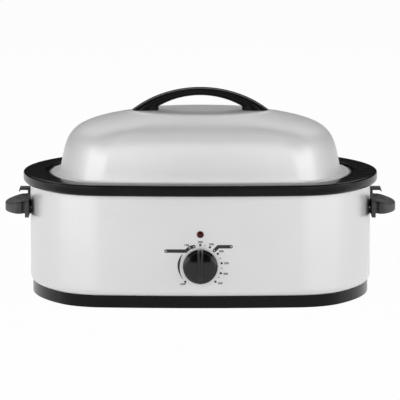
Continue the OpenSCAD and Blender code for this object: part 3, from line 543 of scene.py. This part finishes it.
@dataclass
class Pan(Assembly):
    """Lift-out roasting pan."""

    wall: float = 1.0
    bead_r: float = 1.7
    bead_from: float = -20.0
    bead_to: float = -320.0
    bead_neck: float = 1.2
    floor: float = 46.8
    floor_r: float = 16.0
    floor_reach: float = 4.0
    flange_r: float = 4.0

    def build(self) -> None:
        """Makes the pan's sheet with its rolled bead."""
        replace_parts(self._sheet(), "roasting_pan")

    def _sheet(self) -> Object:
        """Makes the pan from one open path, floor to bead and back.

        Returns:
            The pan.
        """
        lv, t, r, bend_r = self.levels, self.wall, self.floor_r, self.flange_r
        top, bead_z = lv.pan_flange + t, lv.ledge + self.bead_r
        corner_x, bend_x, neck_x = lv.pan_in + r, lv.pan_in - bend_r + t, lv.pan_bead_in + self.bead_r

        def arc(cx: float, cz: float, radius: float, a0: float, a1: float, n: int = 8) -> list[Point2]:
            """Returns points on an arc of the path between two angles in degrees."""
            turns = [radians(a) for a in spread(a0, a1, n)]
            return [(cx + radius * cos(a), cz + radius * sin(a)) for a in turns]

        path = [(corner_x + self.floor_reach, self.floor)]
        path += arc(corner_x, self.floor + r, r, -90, -180)
        path += arc(bend_x, top - bend_r, bend_r - t, 0, 90, 6)
        path += [(neck_x, lv.pan_flange)]
        path += arc(lv.pan_bead_in, bead_z, self.bead_r, self.bead_from, self.bead_to, 20)
        path += [(neck_x + self.bead_neck, top)]
        path += arc(bend_x, top - bend_r, bend_r, 90, 0, 6)
        path += arc(corner_x, self.floor + r, r - t, -180, -90)
        path += [(corner_x + self.floor_reach, self.floor + t)]
        return self.plan.shell(path).make("pan_sheet", Bodies.PAN, self.palette["pan_steel"])


@dataclass
class Lid(Assembly):
    """Domed lid with its flat pad and arched handle."""

    wall: float = 1.0
    foot_in: float = 55.2
    edge_in: float = 42.68
    pad_half: Point2 = (104.0, 74.5)
    pad_grow: float = 1.2
    foot_lean: float = 9.6
    foot_reach: float = 68.5
    top_slope: float = 10.2
    top_reach: float = 99.2
    side_from: float = 0.04
    side_to: float = 0.98
    side_steps: int = 36
    roll: float = 1.6
    grip_len: float = 206.0
    grip_h: float = 34.7
    grip_dep: float = 27.0
    grip_thick: float = 12.0
    grip_foot: float = 40.0
    grip_reach: float = 8.0
    grip_flare: float = 0.18
    grip_square: float = 0.7
    grip_steps: int = 80
    grip_around: int = 32
    gasket: float = 1.0
    arch_drop: float = 92.0

    def build(self) -> None:
        """Makes the dome and the handle."""
        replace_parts(self._dome(), "lid_dome")
        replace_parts(self._handle(), "lid_handle")

    def _pad_point(self, a: float, grow: float) -> Point2:
        """Finds the point of the pad's ellipse where its outward normal has an angle.

        Args:
            a: The angle.
            grow: How far the ellipse is grown.

        Returns:
            The point.
        """
        hx, hy = self.pad_half[0] + grow, self.pad_half[1] + grow
        s = hypot(hx * cos(a), hy * sin(a))
        return hx * hx * cos(a) / s, hy * hy * sin(a) / s

    def _curve(self, k: float, height: float) -> Point2:
        """Follows the dome's side view, one cubic curve from its foot to the pad.

        Args:
            k: Place along the curve, 0 at the foot and 1 at the pad.
            height: Height of the pad over the foot.

        Returns:
            The share of the way in to the pad, and the height.
        """
        run = self.plan.end_x(self.foot_in) - self.pad_half[0]
        lean, slope = radians(self.foot_lean), radians(self.top_slope)
        foot = Vector((sin(lean), cos(lean))) * self.foot_reach
        top = Vector((run, height)) - Vector((cos(slope), sin(slope))) * self.top_reach
        point = 3 * k * (1 - k) ** 2 * foot + 3 * k * k * (1 - k) * top + k ** 3 * Vector((run, height))
        return point.x / run, point.y

    def _section(self, t: float, z: float, inset: float, grow: float = 0.0) -> list[Point3]:
        """Returns a section of the dome.

        Args:
            t: 0 at the foot, where it is the oven's plan, and 1 at the pad's ellipse.
            z: Its height.
            inset: Inset of the plan that it starts from.
            grow: How far the ellipse is grown.

        Returns:
            The section's points.
        """
        points = []
        for s in self.plan.stations():
            x, y = self.plan.at(s, inset)
            px, py = self._pad_point(s[3], grow)
            points.append(((1 - t) * x + t * px, (1 - t) * y + t * py, z))
        return points

    def _dome(self) -> Object:
        """Makes the dome as one closed sheet, from its rolled edge up to the pad and back inside.

        Returns:
            The dome.
        """
        z0, w, h = self.levels.lid, self.wall, self.levels.dome_h
        edge, foot, roll, grow = self.edge_in, self.foot_in, self.roll, self.pad_grow
        top, pad = z0 + h, self.levels.pad

        def side(inset: float, height: float) -> list[list[Point3]]:
            """Returns the sections between foot and pad on one side of the sheet."""
            curve = [self._curve(k, height) for k in spread(self.side_from, self.side_to, self.side_steps)]
            return [self._section(t, z0 + z, inset, grow * t) for t, z in curve]

        flange = [(edge, 0.0), (edge - 0.3, 0.8), (edge, roll), (edge + 0.6, roll + 0.5),
                  (edge + 1.8, roll + 0.5), (edge + 2.6, roll - 0.1), (edge + 3.4, w + 0.3),
                  (foot - 3.2, w), (foot - 1.6, w + 0.3), (foot - 0.6, w + 1.4), (foot - 0.2, w + 3)]
        outer = [self._section(0, z0 + z, inset) for inset, z in flange] + side(foot, h)
        outer += [self._section(1, z, 0, more)
                  for z, more in ((top, grow), (top + 0.55, 0.7), (pad, 0.0), (pad, -3))]
        inner = [self._section(1, z, 0, more) for z, more in ((pad - w, -1), (top - w, 0.5))]
        inner += side(foot + w, h - w)[::-1]
        inner += [self._section(0, z0 + z, inset)
                  for inset, z in ((foot + w - 0.4, 1.4), (foot - 0.6, 0), (edge + 0.4, 0))]
        shell = Solid().grid(inner + outer)
        return shell.make("lid_shell", Bodies.LID, self.palette["lid_paint"], sharp=40)

    def _handle(self) -> Object:
        """Makes the arched handle from ovals between an outer and an inner arch.

        Returns:
            The handle.
        """
        drop, rise, power = self.arch_drop, self.grip_h - self.gasket, self.grip_square
        z0 = self.levels.pad + self.gasket

        def arch(span: float, high: float) -> Point2:
            """Returns an ellipse's half sizes from its span at the foot and its height there."""
            return span / sqrt(1 - (drop / (high + drop)) ** 2), high + drop

        toe = self.grip_len / 2 - self.grip_foot
        arches = arch(self.grip_len / 2, rise), arch(toe + self.grip_reach, rise - self.grip_thick)
        loops = []
        for s in spread(180, 0, self.grip_steps):
            f = abs(s - 90) / 90
            wide = self.grip_dep * (1 + self.grip_flare * f * f)
            ends = []
            for half, high in arches:
                a0 = asin(drop / high)
                a = a0 + (pi - 2 * a0) * s / 180
                ends.append(Vector((half * cos(a), high * sin(a) - drop)))
            ends[1].x = max(-toe, min(toe, ends[1].x))
            middle, reach = (ends[0] + ends[1]) / 2, (ends[0] - ends[1]) / 2
            loop = []
            for i in range(self.grip_around):
                b = 2 * pi * (i + 0.5) / self.grip_around
                u, v = (copysign(abs(c) ** power, c) for c in (cos(b), sin(b)))
                m = middle + u * reach
                loop.append((m.x, v * wide / 2, max(0.0, m.y) + z0))
            loops.append(loop)
        return Solid().grid(loops).make("lid_grip", Bodies.LID, self.palette["black_moulding"], sharp=50)


class Side(Enum):
    """Ends of the oven, with the sign of X."""

    LEFT = -1
    RIGHT = 1


@dataclass
class SideHandle(Assembly):
    """One side handle: plate, two lid rest hooks and a half-moon grip."""

    side: Side
    seat: float = 0.3
    plate_t: float = 5.7
    plate_y: float = 69.0
    plate_h: float = 24.0
    low: float = 121.0
    sink: float = 0.5
    overlap: float = 1.0
    saddle_y: float = 28.0
    saddle_in: float = 1.5
    saddle_steps: int = 12
    hook_w: float = 26.0
    hook_in: float = 3.0
    hook_arm: float = 14.0
    hook_rise: float = 7.5
    hook_t: float = 3.4
    hook_tip: float = 2.4
    boss_y: float = 34.0
    boss_z: float = 12.0
    boss_r: float = 5.0
    boss_gap: float = 0.1
    boss_steps: int = 24
    rib_t: float = 2.6
    rib_foot: float = 1.0
    rib_head: float = 5.0
    tip_x: float = 297.0
    grip_r: float = 89.0
    grip_low: float = 124.7
    grip_t: float = 13.5
    slope: float = 0.17
    ear_y: float = 54.0
    ear_lead: float = 14.0
    ear_r: float = 6.0
    tip_share: float = 0.9
    tip_steps: int = 40
    wall_t: float = 3.2
    web_t: float = 3.5
    notch: float = 4.5
    notch_x: float = 6.0

    def __post_init__(self) -> None:
        """Works out the plate's two faces and starts the handle's solid."""
        self.face = self.plan.end_x(self.levels.body_in) + self.seat
        self.front = self.face + self.plate_t
        self.solid = Solid()

    def build(self) -> None:
        """Makes the handle in place of its plain solid."""
        name, solid = self.side.name.lower(), self.solid
        self._plate()
        self._saddle()
        for sy in (-1, 1):
            self._hook(sy)
            self._boss(sy)
            self._rib(sy)
        self._grip()
        solid.verts = [(self.side.value * x, y, z) for x, y, z in solid.verts]
        piece = solid.make(f"side_grip_{name}", Bodies.OVEN, self.palette["dull_moulding"], bevel=0.5)
        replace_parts(piece, f"side_handle_{name}")

    def _plate(self) -> None:
        """Adds the flat plate with rounded corners."""
        top = self.low + self.plate_h
        outline = rounded([(-self.plate_y, self.low, 2), (self.plate_y, self.low, 2),
                           (self.plate_y, top, 1), (-self.plate_y, top, 1)])
        self.solid.extrude(outline, lambda u, v, h: (h, u, v), self.face, self.front)

    def _saddle(self) -> None:
        """Adds the plate's back, which follows the body's curved end."""
        half, back = self.saddle_y, self.face + self.overlap
        low, high = self.low + self.saddle_in, self.low + self.plate_h - self.saddle_in
        curve = [(self.plan.end_x(self.levels.body_in, y) + self.seat, y)
                 for y in spread(-half, half, self.saddle_steps)]
        outline = [(back, half), (back, -half), *curve]
        self.solid.extrude(outline, lambda u, v, h: (u, v, h), low, high)

    def _hook(self, sy: int) -> None:
        """Adds a hook, a bent tongue whose tip slants down and out.

        Args:
            sy: 1 for the rear hook and -1 for the front one.
        """
        foot, out = self.low + self.plate_h - self.overlap, self.front + self.hook_arm
        top = self.low + self.plate_h + self.hook_rise
        under = top - self.hook_t
        tip = under - self.hook_tip
        outline = rounded([(self.face, foot, 0), (self.front, foot, 0), (self.front, under, 1.0),
                           (out - 2.6, under, 0.5), (out - 1.2, tip, 0.2), (out, tip + 0.6, 0.3),
                           (out - 1.6, top, 1.2), (self.face, top, 3.0)], 5)
        end = self.plate_y - self.hook_in
        ends = sorted((sy * (end - self.hook_w), sy * end))
        self.solid.extrude(outline, lambda u, v, h: (u, h, v), *ends)

    def _boss(self, sy: int) -> None:
        """Adds a screw boss that reaches the body's curve.

        Args:
            sy: 1 for the rear boss and -1 for the front one.
        """
        r = self.boss_r
        back = self.plan.end_x(self.levels.body_in, self.boss_y - r) + self.boss_gap
        ring = [(sy * self.boss_y + r * cos(a), self.low + self.boss_z + r * sin(a))
                for a in circle(self.boss_steps)]
        self.solid.extrude(ring, lambda u, v, h: (h, u, v), back, self.front - self.overlap)

    def _rib(self, sy: int) -> None:
        """Adds the rib that stiffens the notch between an ear and the plate.

        Args:
            sy: 1 for the rear rib and -1 for the front one.
        """
        start, end = self.front - self.sink, self.front + self.rib_t
        low, high = self.grip_low + self.rib_foot, self._top(self.front) - self.rib_head
        outline = rounded([(start, low, 0), (end, low, 0.8), (end, high, 0.8), (start, high, 0)], 3)
        ends = sorted((sy * (self.ear_y - self.notch - 1), sy * (self.ear_y - 2)))
        self.solid.extrude(outline, lambda u, v, h: (u, h, v), *ends)

    def _top(self, x: float) -> float:
        """Returns the height of the grip's top face, which rises towards the plate."""
        return self.grip_low + self.grip_t + self.slope * (self.tip_x - x)

    def _outline(self, inset: float) -> list[Point2]:
        """Draws the grip from above, from the rear ear round the tip to the front one.

        Args:
            inset: Inset from the grip's outer face.

        Returns:
            The outline's points.
        """
        cx, r, ear = self.tip_x - self.grip_r, self.grip_r - inset, self.ear_y - inset
        turn = asin(ear / r)
        corner, end = cx + r * cos(turn), turn * self.tip_share
        arc = [(cx + r * cos(a), r * sin(a)) for a in spread(end, -end, self.tip_steps)]
        rear = rounded([(corner - self.ear_lead, ear, 0), (corner, ear, self.ear_r), (*arc[1], 0)], 6)[1:-1]
        front = [(x, -y) for x, y in rear[::-1]]
        start = self.front - self.sink
        cut_x, cut_y = start + self.notch_x, ear - self.notch
        foot = [(start, cut_y), (cut_x, cut_y), (cut_x, ear)]
        return [*foot, *rear, *arc[1:-1], *front, *[(x, -y) for x, y in foot[::-1]]]

    def _grip(self) -> None:
        """Adds the half-moon grip: a rim wall open below, under a top face that rises to the plate."""
        wall = self.wall_t
        foot = ((wall, 0.4), (wall - 0.4, 0.0), (1.4, 0.0), (0.4, 0.5), (0.0, 1.6))
        head = ((0.0, -2.6), (0.35, -1.2), (1.2, -0.3), (2.4, 0.0))
        outer = [[(x, y, self.grip_low + rise) for x, y in self._outline(inset)] for inset, rise in foot]
        outer += [[(x, y, self._top(x) + rise) for x, y in self._outline(inset)] for inset, rise in head]
        under = [(x, y, self._top(x) - self.web_t) for x, y in self._outline(wall)]
        self.solid.grid([under, *outer])


@dataclass(frozen=True)
class Mark:
    """A number of the dial, its dot's angle and the number's shift from the dot."""

    text: str
    angle: float
    shift: Point2
    light_dot: bool = False


@dataclass
class Control(Assembly):
    """Control knob and the dial printed round it."""

    knob_z: float = 65.4
    knob_r: float = 25.9
    knob_t: float = 13.0
    core_r: float = 0.01
    skirt_w: float = 3.4
    skirt_share: float = 0.42
    step_share: float = 0.55
    crown: float = 2.3
    crown_stops: tuple[float, ...] = (0.97, 0.9, 0.8, 0.65, 0.5, 0.35, 0.2, 0.1)
    knob_steps: int = 96
    ridge_t: float = 9.0
    ridge_w: float = 9.0
    ridge_in: float = 7.5
    ridge_out: float = 1.0
    ridge_steps: int = 12
    gap: float = 1.5
    dot_ring: float = 32.0
    big_dot: float = 1.75
    small_dot: float = 0.85
    dot_steps: int = 24
    figure_h: float = 4.1
    figure_wide: float = 1.15
    stroke: float = 0.16
    marks: tuple[Mark, ...] = (
        Mark("OFF", -136.0, (-3.4, -3.8)), Mark("150", -30.0, (-4.4, 3.9), light_dot=True),
        Mark("200", 0.0, (0.0, 4.2)), Mark("250", 26.5, (2.2, 4.2)), Mark("300", 54.0, (4.9, 3.6)),
        Mark("350", 81.5, (7.0, -0.2)), Mark("400", 108.7, (7.0, -0.9)), Mark("450", 135.6, (7.0, -2.4)))
    small_marks: tuple[float, ...] = (12.0, 68.0, 95.0, 121.0)
    flags: tuple[tuple[Point2, ...], ...] = (
        ((-50.7, 22.8), (-21.4, 22.8), (-15.6, 28.0), (-9.4, 29.6)),
        ((20.8, 23.6), (26.6, 29.3), (45.4, 29.3)))
    flag_half: float = 2.6
    flag_dot: float = 0.9
    flag_steps: int = 8
    end_steps: int = 6
    crescent_from: float = -126.0
    crescent_turn: float = 71.0
    crescent_thin: float = 0.5
    crescent_swell: float = 2.9
    crescent_lean: float = 1.3
    crescent_steps: int = 28
    print_t: float = 0.06

    def build(self) -> None:
        """Makes the knob and the dial print."""
        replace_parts(self._knob(), "control_knob")
        self._print()

    def _at(self, x: float, out: float, z: float) -> Point3:
        """Returns a point in the frame from X, distance out of the face and height over the axis."""
        return x, self.plan.front_y(self.levels.body_in) - self.gap - out, self.knob_z + z

    def _knob(self) -> Object:
        """Makes the knob: a skirt, a slightly domed disc on it and a raised grip ridge.

        Returns:
            The knob.
        """
        r, t, core, crown = self.knob_r, self.knob_t, self.core_r, self.crown
        step, top = r - self.skirt_w, t + self.ridge_t
        side = rounded([(core, 0, 0), (r, 0, 0.4), (r - 0.3, t * self.skirt_share, 1.3),
                        (step + 0.4, t * self.step_share, 0.4), (step, t - crown - 0.2, 1.0)], 4)
        side += [(step * u, t - crown * u * u) for u in self.crown_stops] + [(core, t)]
        solid = Solid()
        solid.grid([[self._at(u * cos(a), v, u * sin(a)) for u, v in side]
                    for a in circle(self.knob_steps)], ring=True)
        half = self.ridge_w / 2
        low, high = -r + self.ridge_in + half, r + self.ridge_out - half
        # Each section's distance out of the face, and how far it is drawn in.
        sections = ((1.5, 0.0), (t + 1.0, 0.1), (top - 2.6, 0.4),
                    (top - 1.2, 0.9), (top - 0.3, 1.9), (top, 3.0))
        turns = [(end, b) for end, start in ((low, pi), (high, 0))
                 for b in spread(start, start + pi, self.ridge_steps)]
        rows = []
        for out, inset in sections:
            w = half - inset
            rows.append([self._at(w * cos(b), out, end + w * sin(b)) for end, b in turns])
        solid.grid(rows)
        return solid.make("knob_moulding", Bodies.KNOB, self.palette["gloss_moulding"], bevel=0.3)

    def _print(self) -> None:
        """Prints the dial's dots, numbers, flags and crescent on the body's curved face."""
        ink, light = Solid(), Solid()
        for mark in self.marks:
            if not mark.light_dot:
                self._dot(ink, self._ring_point(mark.angle), self.big_dot)
        for angle in self.small_marks:
            self._dot(ink, self._ring_point(angle), self.small_dot)
        ink.strip(self._crescent())
        for route in self.flags:
            ink.strip(self._flag(route))
            for place in (route[0], route[-1]):
                self._dot(light, place, self.flag_dot, layers=2)
        for mark in self.marks:
            if mark.light_dot:
                self._dot(light, self._ring_point(mark.angle), self.flag_dot, layers=2)
        ink.make("dial_marks", Bodies.OVEN, self.palette["dial_ink"])
        light.make("dial_flag_dots", Bodies.OVEN, self.palette["silver_paint"])
        for mark in self.marks:
            x, z = self._ring_point(mark.angle)
            self._number(mark.text, x + mark.shift[0], z + mark.shift[1])

    def _ring_point(self, angle: float) -> Point2:
        """Returns the place on the dots' ring at an angle in degrees, clockwise from the top."""
        a = radians(angle)
        return self.dot_ring * sin(a), self.dot_ring * cos(a)

    def _on_face(self, x: float, z: float, layers: int = 1) -> Point3:
        """Returns the point of the body's front face there, proud by some layers of print."""
        return x, self.plan.front_y(self.levels.body_in, x) - layers * self.print_t, self.knob_z + z

    def _dot(self, solid: Solid, place: Point2, radius: float, layers: int = 1) -> None:
        """Adds one dot.

        Args:
            solid: The print that it belongs to.
            place: Its middle, from the knob's axis.
            radius: Its radius.
            layers: How many layers of print it stands out.
        """
        base = len(solid.verts)
        for b in circle(self.dot_steps):
            x, z = place[0] + radius * cos(b), place[1] + radius * sin(b)
            solid.verts.append(self._on_face(x, z, layers))
        solid.faces.append(tuple(range(base, len(solid.verts))))

    def _crescent(self) -> list[list[Point3]]:
        """Draws the tapered arc up the left side.

        Returns:
            Pairs of points on its inner and outer edge.
        """
        pairs = []
        for u in spread(0.0, 1.0, self.crescent_steps):
            a = radians(self.crescent_from + self.crescent_turn * u)
            w = self.crescent_thin + self.crescent_swell * sin(pi * u ** self.crescent_lean)
            edges = (self.dot_ring - w / 2, self.dot_ring + w / 2)
            pairs.append([self._on_face(r * sin(a), r * cos(a)) for r in edges])
        return pairs

    def _flag(self, route: tuple[Point2, ...]) -> list[list[Point3]]:
        """Draws one flag, a plain bar with round ends that follows a bent route.

        Args:
            route: The bar's middle line.

        Returns:
            Pairs of points on its two edges.
        """
        half, n = self.flag_half, self.flag_steps
        stops = [Vector(a).lerp(Vector(b), i / n) for a, b in zip(route, route[1:]) for i in range(n)]
        stops.append(Vector(route[-1]))
        ways = [(b - a).normalized() for a, b in zip(stops, stops[1:])]
        turns = spread(0.0, pi / 2, self.end_steps)
        rows = [(stops[0] - ways[0] * half * cos(a), ways[0], sin(a)) for a in turns]
        for k in range(1, len(stops) - 1):
            middle = (ways[k - 1] + ways[k]).normalized()
            rows.append((stops[k], middle, 1.0 / middle.dot(ways[k])))
        rows += [(stops[-1] + ways[-1] * half * cos(a), ways[-1], sin(a)) for a in turns[::-1]]
        pairs = []
        for place, way, wide in rows:
            side = Vector((-way.y, way.x)) * half * wide
            pairs.append([self._on_face(*(place - side)), self._on_face(*(place + side))])
        return pairs

    def _number(self, text: str, x: float, z: float) -> None:
        """Prints one number, its middle at a place on the face.

        Args:
            text: The number.
            x: Its X from the knob's axis.
            z: Its height over the knob's axis.
        """
        curve = bpy.data.curves.new(f"figure_{text}", "FONT")
        curve.body = text
        curve.size = self.figure_h * MM
        curve.offset = self.stroke * MM
        curve.align_x = curve.align_y = "CENTER"
        holder = bpy.data.objects.new(f"figure_{text}", curve)
        show(holder)
        bpy.context.view_layer.update()
        mesh = bpy.data.meshes.new_from_object(holder.evaluated_get(bpy.context.evaluated_depsgraph_get()))
        bpy.data.objects.remove(holder)
        for vert in mesh.vertices:
            across, up = self.figure_wide * vert.co.x / MM, vert.co.y / MM
            vert.co = Vector(self._on_face(across + x, up + z)) * MM
        mesh.materials.clear()
        mesh.materials.append(self.palette["dial_ink"])
        piece = bpy.data.objects.new(f"dial_{text}", mesh)
        show(piece)
        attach(piece, Bodies.OVEN.value)
        LOG.info("dial_%s: %d faces", text, len(mesh.polygons))


# ---- Frame nodes ----


@dataclass
class Fittings:
    """Finishes of the frame's nodes, also of those that a piece replaces."""

    palette: Palette
    finishes: dict[str, tuple[str, ...]] = field(default_factory=lambda: {
        "black_moulding": ("base_tray", "rim_collar", "lid_handle", "control_knob", "cord_gland",
                           "gland_nut"),
        "dull_moulding": ("side_handle_left", "side_handle_right"),
        "silver_paint": ("outer_body",),
        "lid_paint": ("lid_dome",),
        "rubber_foot": ("foot_front_left", "foot_front_right", "foot_rear_left", "foot_rear_right",
                        "lid_handle_gaskets"),
        "zinc_steel": ("base_screws", "speed_nuts", "shield_posts", "collar_screws", "heater_straps",
                       "heater_terminals", "lid_handle_washers", "lid_handle_screws", "backing_plate_left",
                       "backing_plate_right", "side_handle_screws_left", "side_handle_screws_right",
                       "thermostat_bushing", "thermostat_bracket", "thermostat_screws", "thermostat_shaft",
                       "knob_clip", "pilot_clip"),
        "bright_sheet": ("heat_shield", "inner_liner", "sensor_pad"),
        "pan_steel": ("roasting_pan",),
        "chrome_wire": ("rack_grid", "rack_loop_left", "rack_loop_right"),
        "glass_wool": ("insulation_blanket",),
        "mica_band": ("heater_band",),
        "phenolic": ("thermostat_case", "terminal_block"),
        "brass_tab": ("thermostat_terminals", "terminal_screws"),
        "red_lens": ("pilot_lens",),
        "lamp_glass": ("pilot_lamp",),
    })

    def dress(self, nodes: dict[str, Object]) -> None:
        """Gives every frame node its finish.

        Args:
            nodes: The frame's nodes by name.
        """
        for finish, names in self.finishes.items():
            for name in names:
                node = nodes[name]
                for place in node.material_slots:
                    place.material = self.palette[finish]
                LOG.info("%s: %s", name, finish)


# ---- Studio ----


@dataclass(frozen=True)
class Lamp:
    """One soft rectangular lamp that faces its aim, in metres and watts."""

    name: str
    place: Point3
    wide: float
    high: float
    power: float
    aim: Point3 = (0.0, 0.0, 0.12)

    def hang(self) -> None:
        """Hangs it."""
        data = bpy.data.lights.new(self.name, "AREA")
        data.shape = "RECTANGLE"
        data.size, data.size_y = self.wide, self.high
        data.energy = self.power
        lamp = bpy.data.objects.new(self.name, data)
        lamp.location = self.place
        lamp.rotation_euler = (Vector(self.aim) - Vector(self.place)).to_track_quat("-Z", "Y").to_euler()
        lamp.visible_camera = False
        show(lamp)


@dataclass
class Studio:
    """Pale floor, soft lamps, world light and the camera."""

    distance: float = 6.0586
    elevation: float = 7.453
    target_z: float = 0.139
    lens: float = 357.68
    sensor: float = 36.0
    shift_x: float = -0.00075
    clip_end: float = 200.0
    sky: Point2 = (0.12, 0.8)
    sky_rise: Point2 = (0.12, 0.55)
    floor_half: float = 30.0
    floor_back: float = 60.0
    floor_grey: float = 0.95
    floor_rough: float = 0.9
    floor_glow: float = 0.97
    lamps: tuple[Lamp, ...] = (
        Lamp("left_wall", (-3.2, -0.3, 1.0), 3.2, 2.0, 44.0),
        Lamp("right_wall", (3.2, -0.3, 1.0), 3.2, 2.0, 44.0),
        Lamp("left_softbox", (-2.5, -3.4, 1.2), 3.2, 2.2, 64.0),
        Lamp("right_softbox", (2.5, -3.4, 1.2), 3.2, 2.2, 59.0),
        Lamp("front_softbox", (0.0, -4.5, 3.0), 3.0, 1.6, 22.0),
        Lamp("top_softbox", (0.0, -0.4, 3.0), 3.0, 1.4, 5.0),
        Lamp("back_softbox", (0.0, 3.2, 2.6), 5.0, 1.8, 42.0),
    )

    def build(self) -> None:
        """Makes everything that isn't part of the object."""
        bpy.context.scene.view_settings.view_transform = "Standard"
        self._floor()
        self._world()
        self._camera()
        for lamp in self.lamps:
            lamp.hang()

    def _is_seen(self, tree: NodeTree) -> Node:
        """Adds nodes that give 1 for camera, glossy and transmission rays.

        Args:
            tree: The floor's node tree.

        Returns:
            The last of them, which gives the 1.
        """
        path = add_node(tree, "LightPath")
        last, output = path, "Is Camera Ray"
        for other in ("Is Glossy Ray", "Is Transmission Ray"):
            most = add_node(tree, "Math")
            most.operation = "MAXIMUM"
            join(last, output, most, 0)
            join(path, other, most, 1)
            last, output = most, 0
        return last

    def _floor(self) -> None:
        """Makes the pale floor, which stays nearly white and keeps a soft shadow."""
        half, back, grey = self.floor_half, self.floor_back, self.floor_grey
        corners = [(-half, -half, 0), (half, -half, 0), (half, back, 0), (-half, back, 0)]
        mesh = bpy.data.meshes.new("floor")
        mesh.from_pydata(corners, [], [(0, 1, 2, 3)])
        floor = bpy.data.objects.new("floor", mesh)
        show(floor)
        material = bpy.data.materials.new("pale_floor")
        material.use_nodes = True
        tree = material.node_tree
        shader = tree.nodes["Principled BSDF"]
        shader.inputs["Base Color"].default_value = (grey, grey, grey, 1)
        shader.inputs["Roughness"].default_value = self.floor_rough
        glow = add_node(tree, "Emission")
        mix = add_node(tree, "MixShader")
        weigh = add_node(tree, "Math", {1: self.floor_glow})
        weigh.operation = "MULTIPLY"
        join(self._is_seen(tree), 0, weigh, 0)
        join(weigh, 0, mix, "Fac")
        join(shader, 0, mix, 1)
        join(glow, 0, mix, 2)
        join(mix, 0, tree.nodes["Material Output"], "Surface")
        mesh.materials.append(material)

    def _world(self) -> None:
        """Makes the world, a plain light that is dim near the horizon and bright overhead."""
        world = bpy.data.worlds.new("studio")
        bpy.context.scene.world = world
        world.use_nodes = True
        tree = world.node_tree
        place = add_node(tree, "TexCoord")
        split = add_node(tree, "SeparateXYZ")
        rise = add_node(tree, "MapRange", {"From Min": self.sky_rise[0], "From Max": self.sky_rise[1],
                                           "To Min": self.sky[0], "To Max": self.sky[1]})
        rise.interpolation_type = "SMOOTHSTEP"
        join(place, "Generated", split, "Vector")
        join(split, "Z", rise, "Value")
        join(rise, "Result", tree.nodes["Background"], "Strength")

    def _camera(self) -> None:
        """Places the camera at the photograph's angle and distance."""
        data = bpy.data.cameras.new("camera")
        data.lens = self.lens
        data.sensor_width = self.sensor
        data.shift_x = self.shift_x
        data.clip_end = self.clip_end
        camera = bpy.data.objects.new("camera", data)
        up = radians(self.elevation)
        camera.location = (0, -self.distance * cos(up), self.target_z + self.distance * sin(up))
        camera.rotation_euler = (radians(90 - self.elevation), 0, 0)
        show(camera)
        bpy.context.scene.camera = camera


def main() -> None:
    """Loads the frame and builds the assemblies in order."""
    logging.basicConfig(level=logging.INFO, format="%(name)s: %(message)s", stream=sys.stdout)
    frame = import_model()
    plan, levels, palette = Plan(), Levels(), Palette()
    Fittings(palette).dress(frame["nodes"])
    Shell(plan, levels, palette).build()
    Pan(plan, levels, palette).build()
    Lid(plan, levels, palette).build()
    for side in Side:
        SideHandle(plan, levels, palette, side).build()
    Control(plan, levels, palette).build()
    Studio().build()


if __name__ == "__main__":
    main()
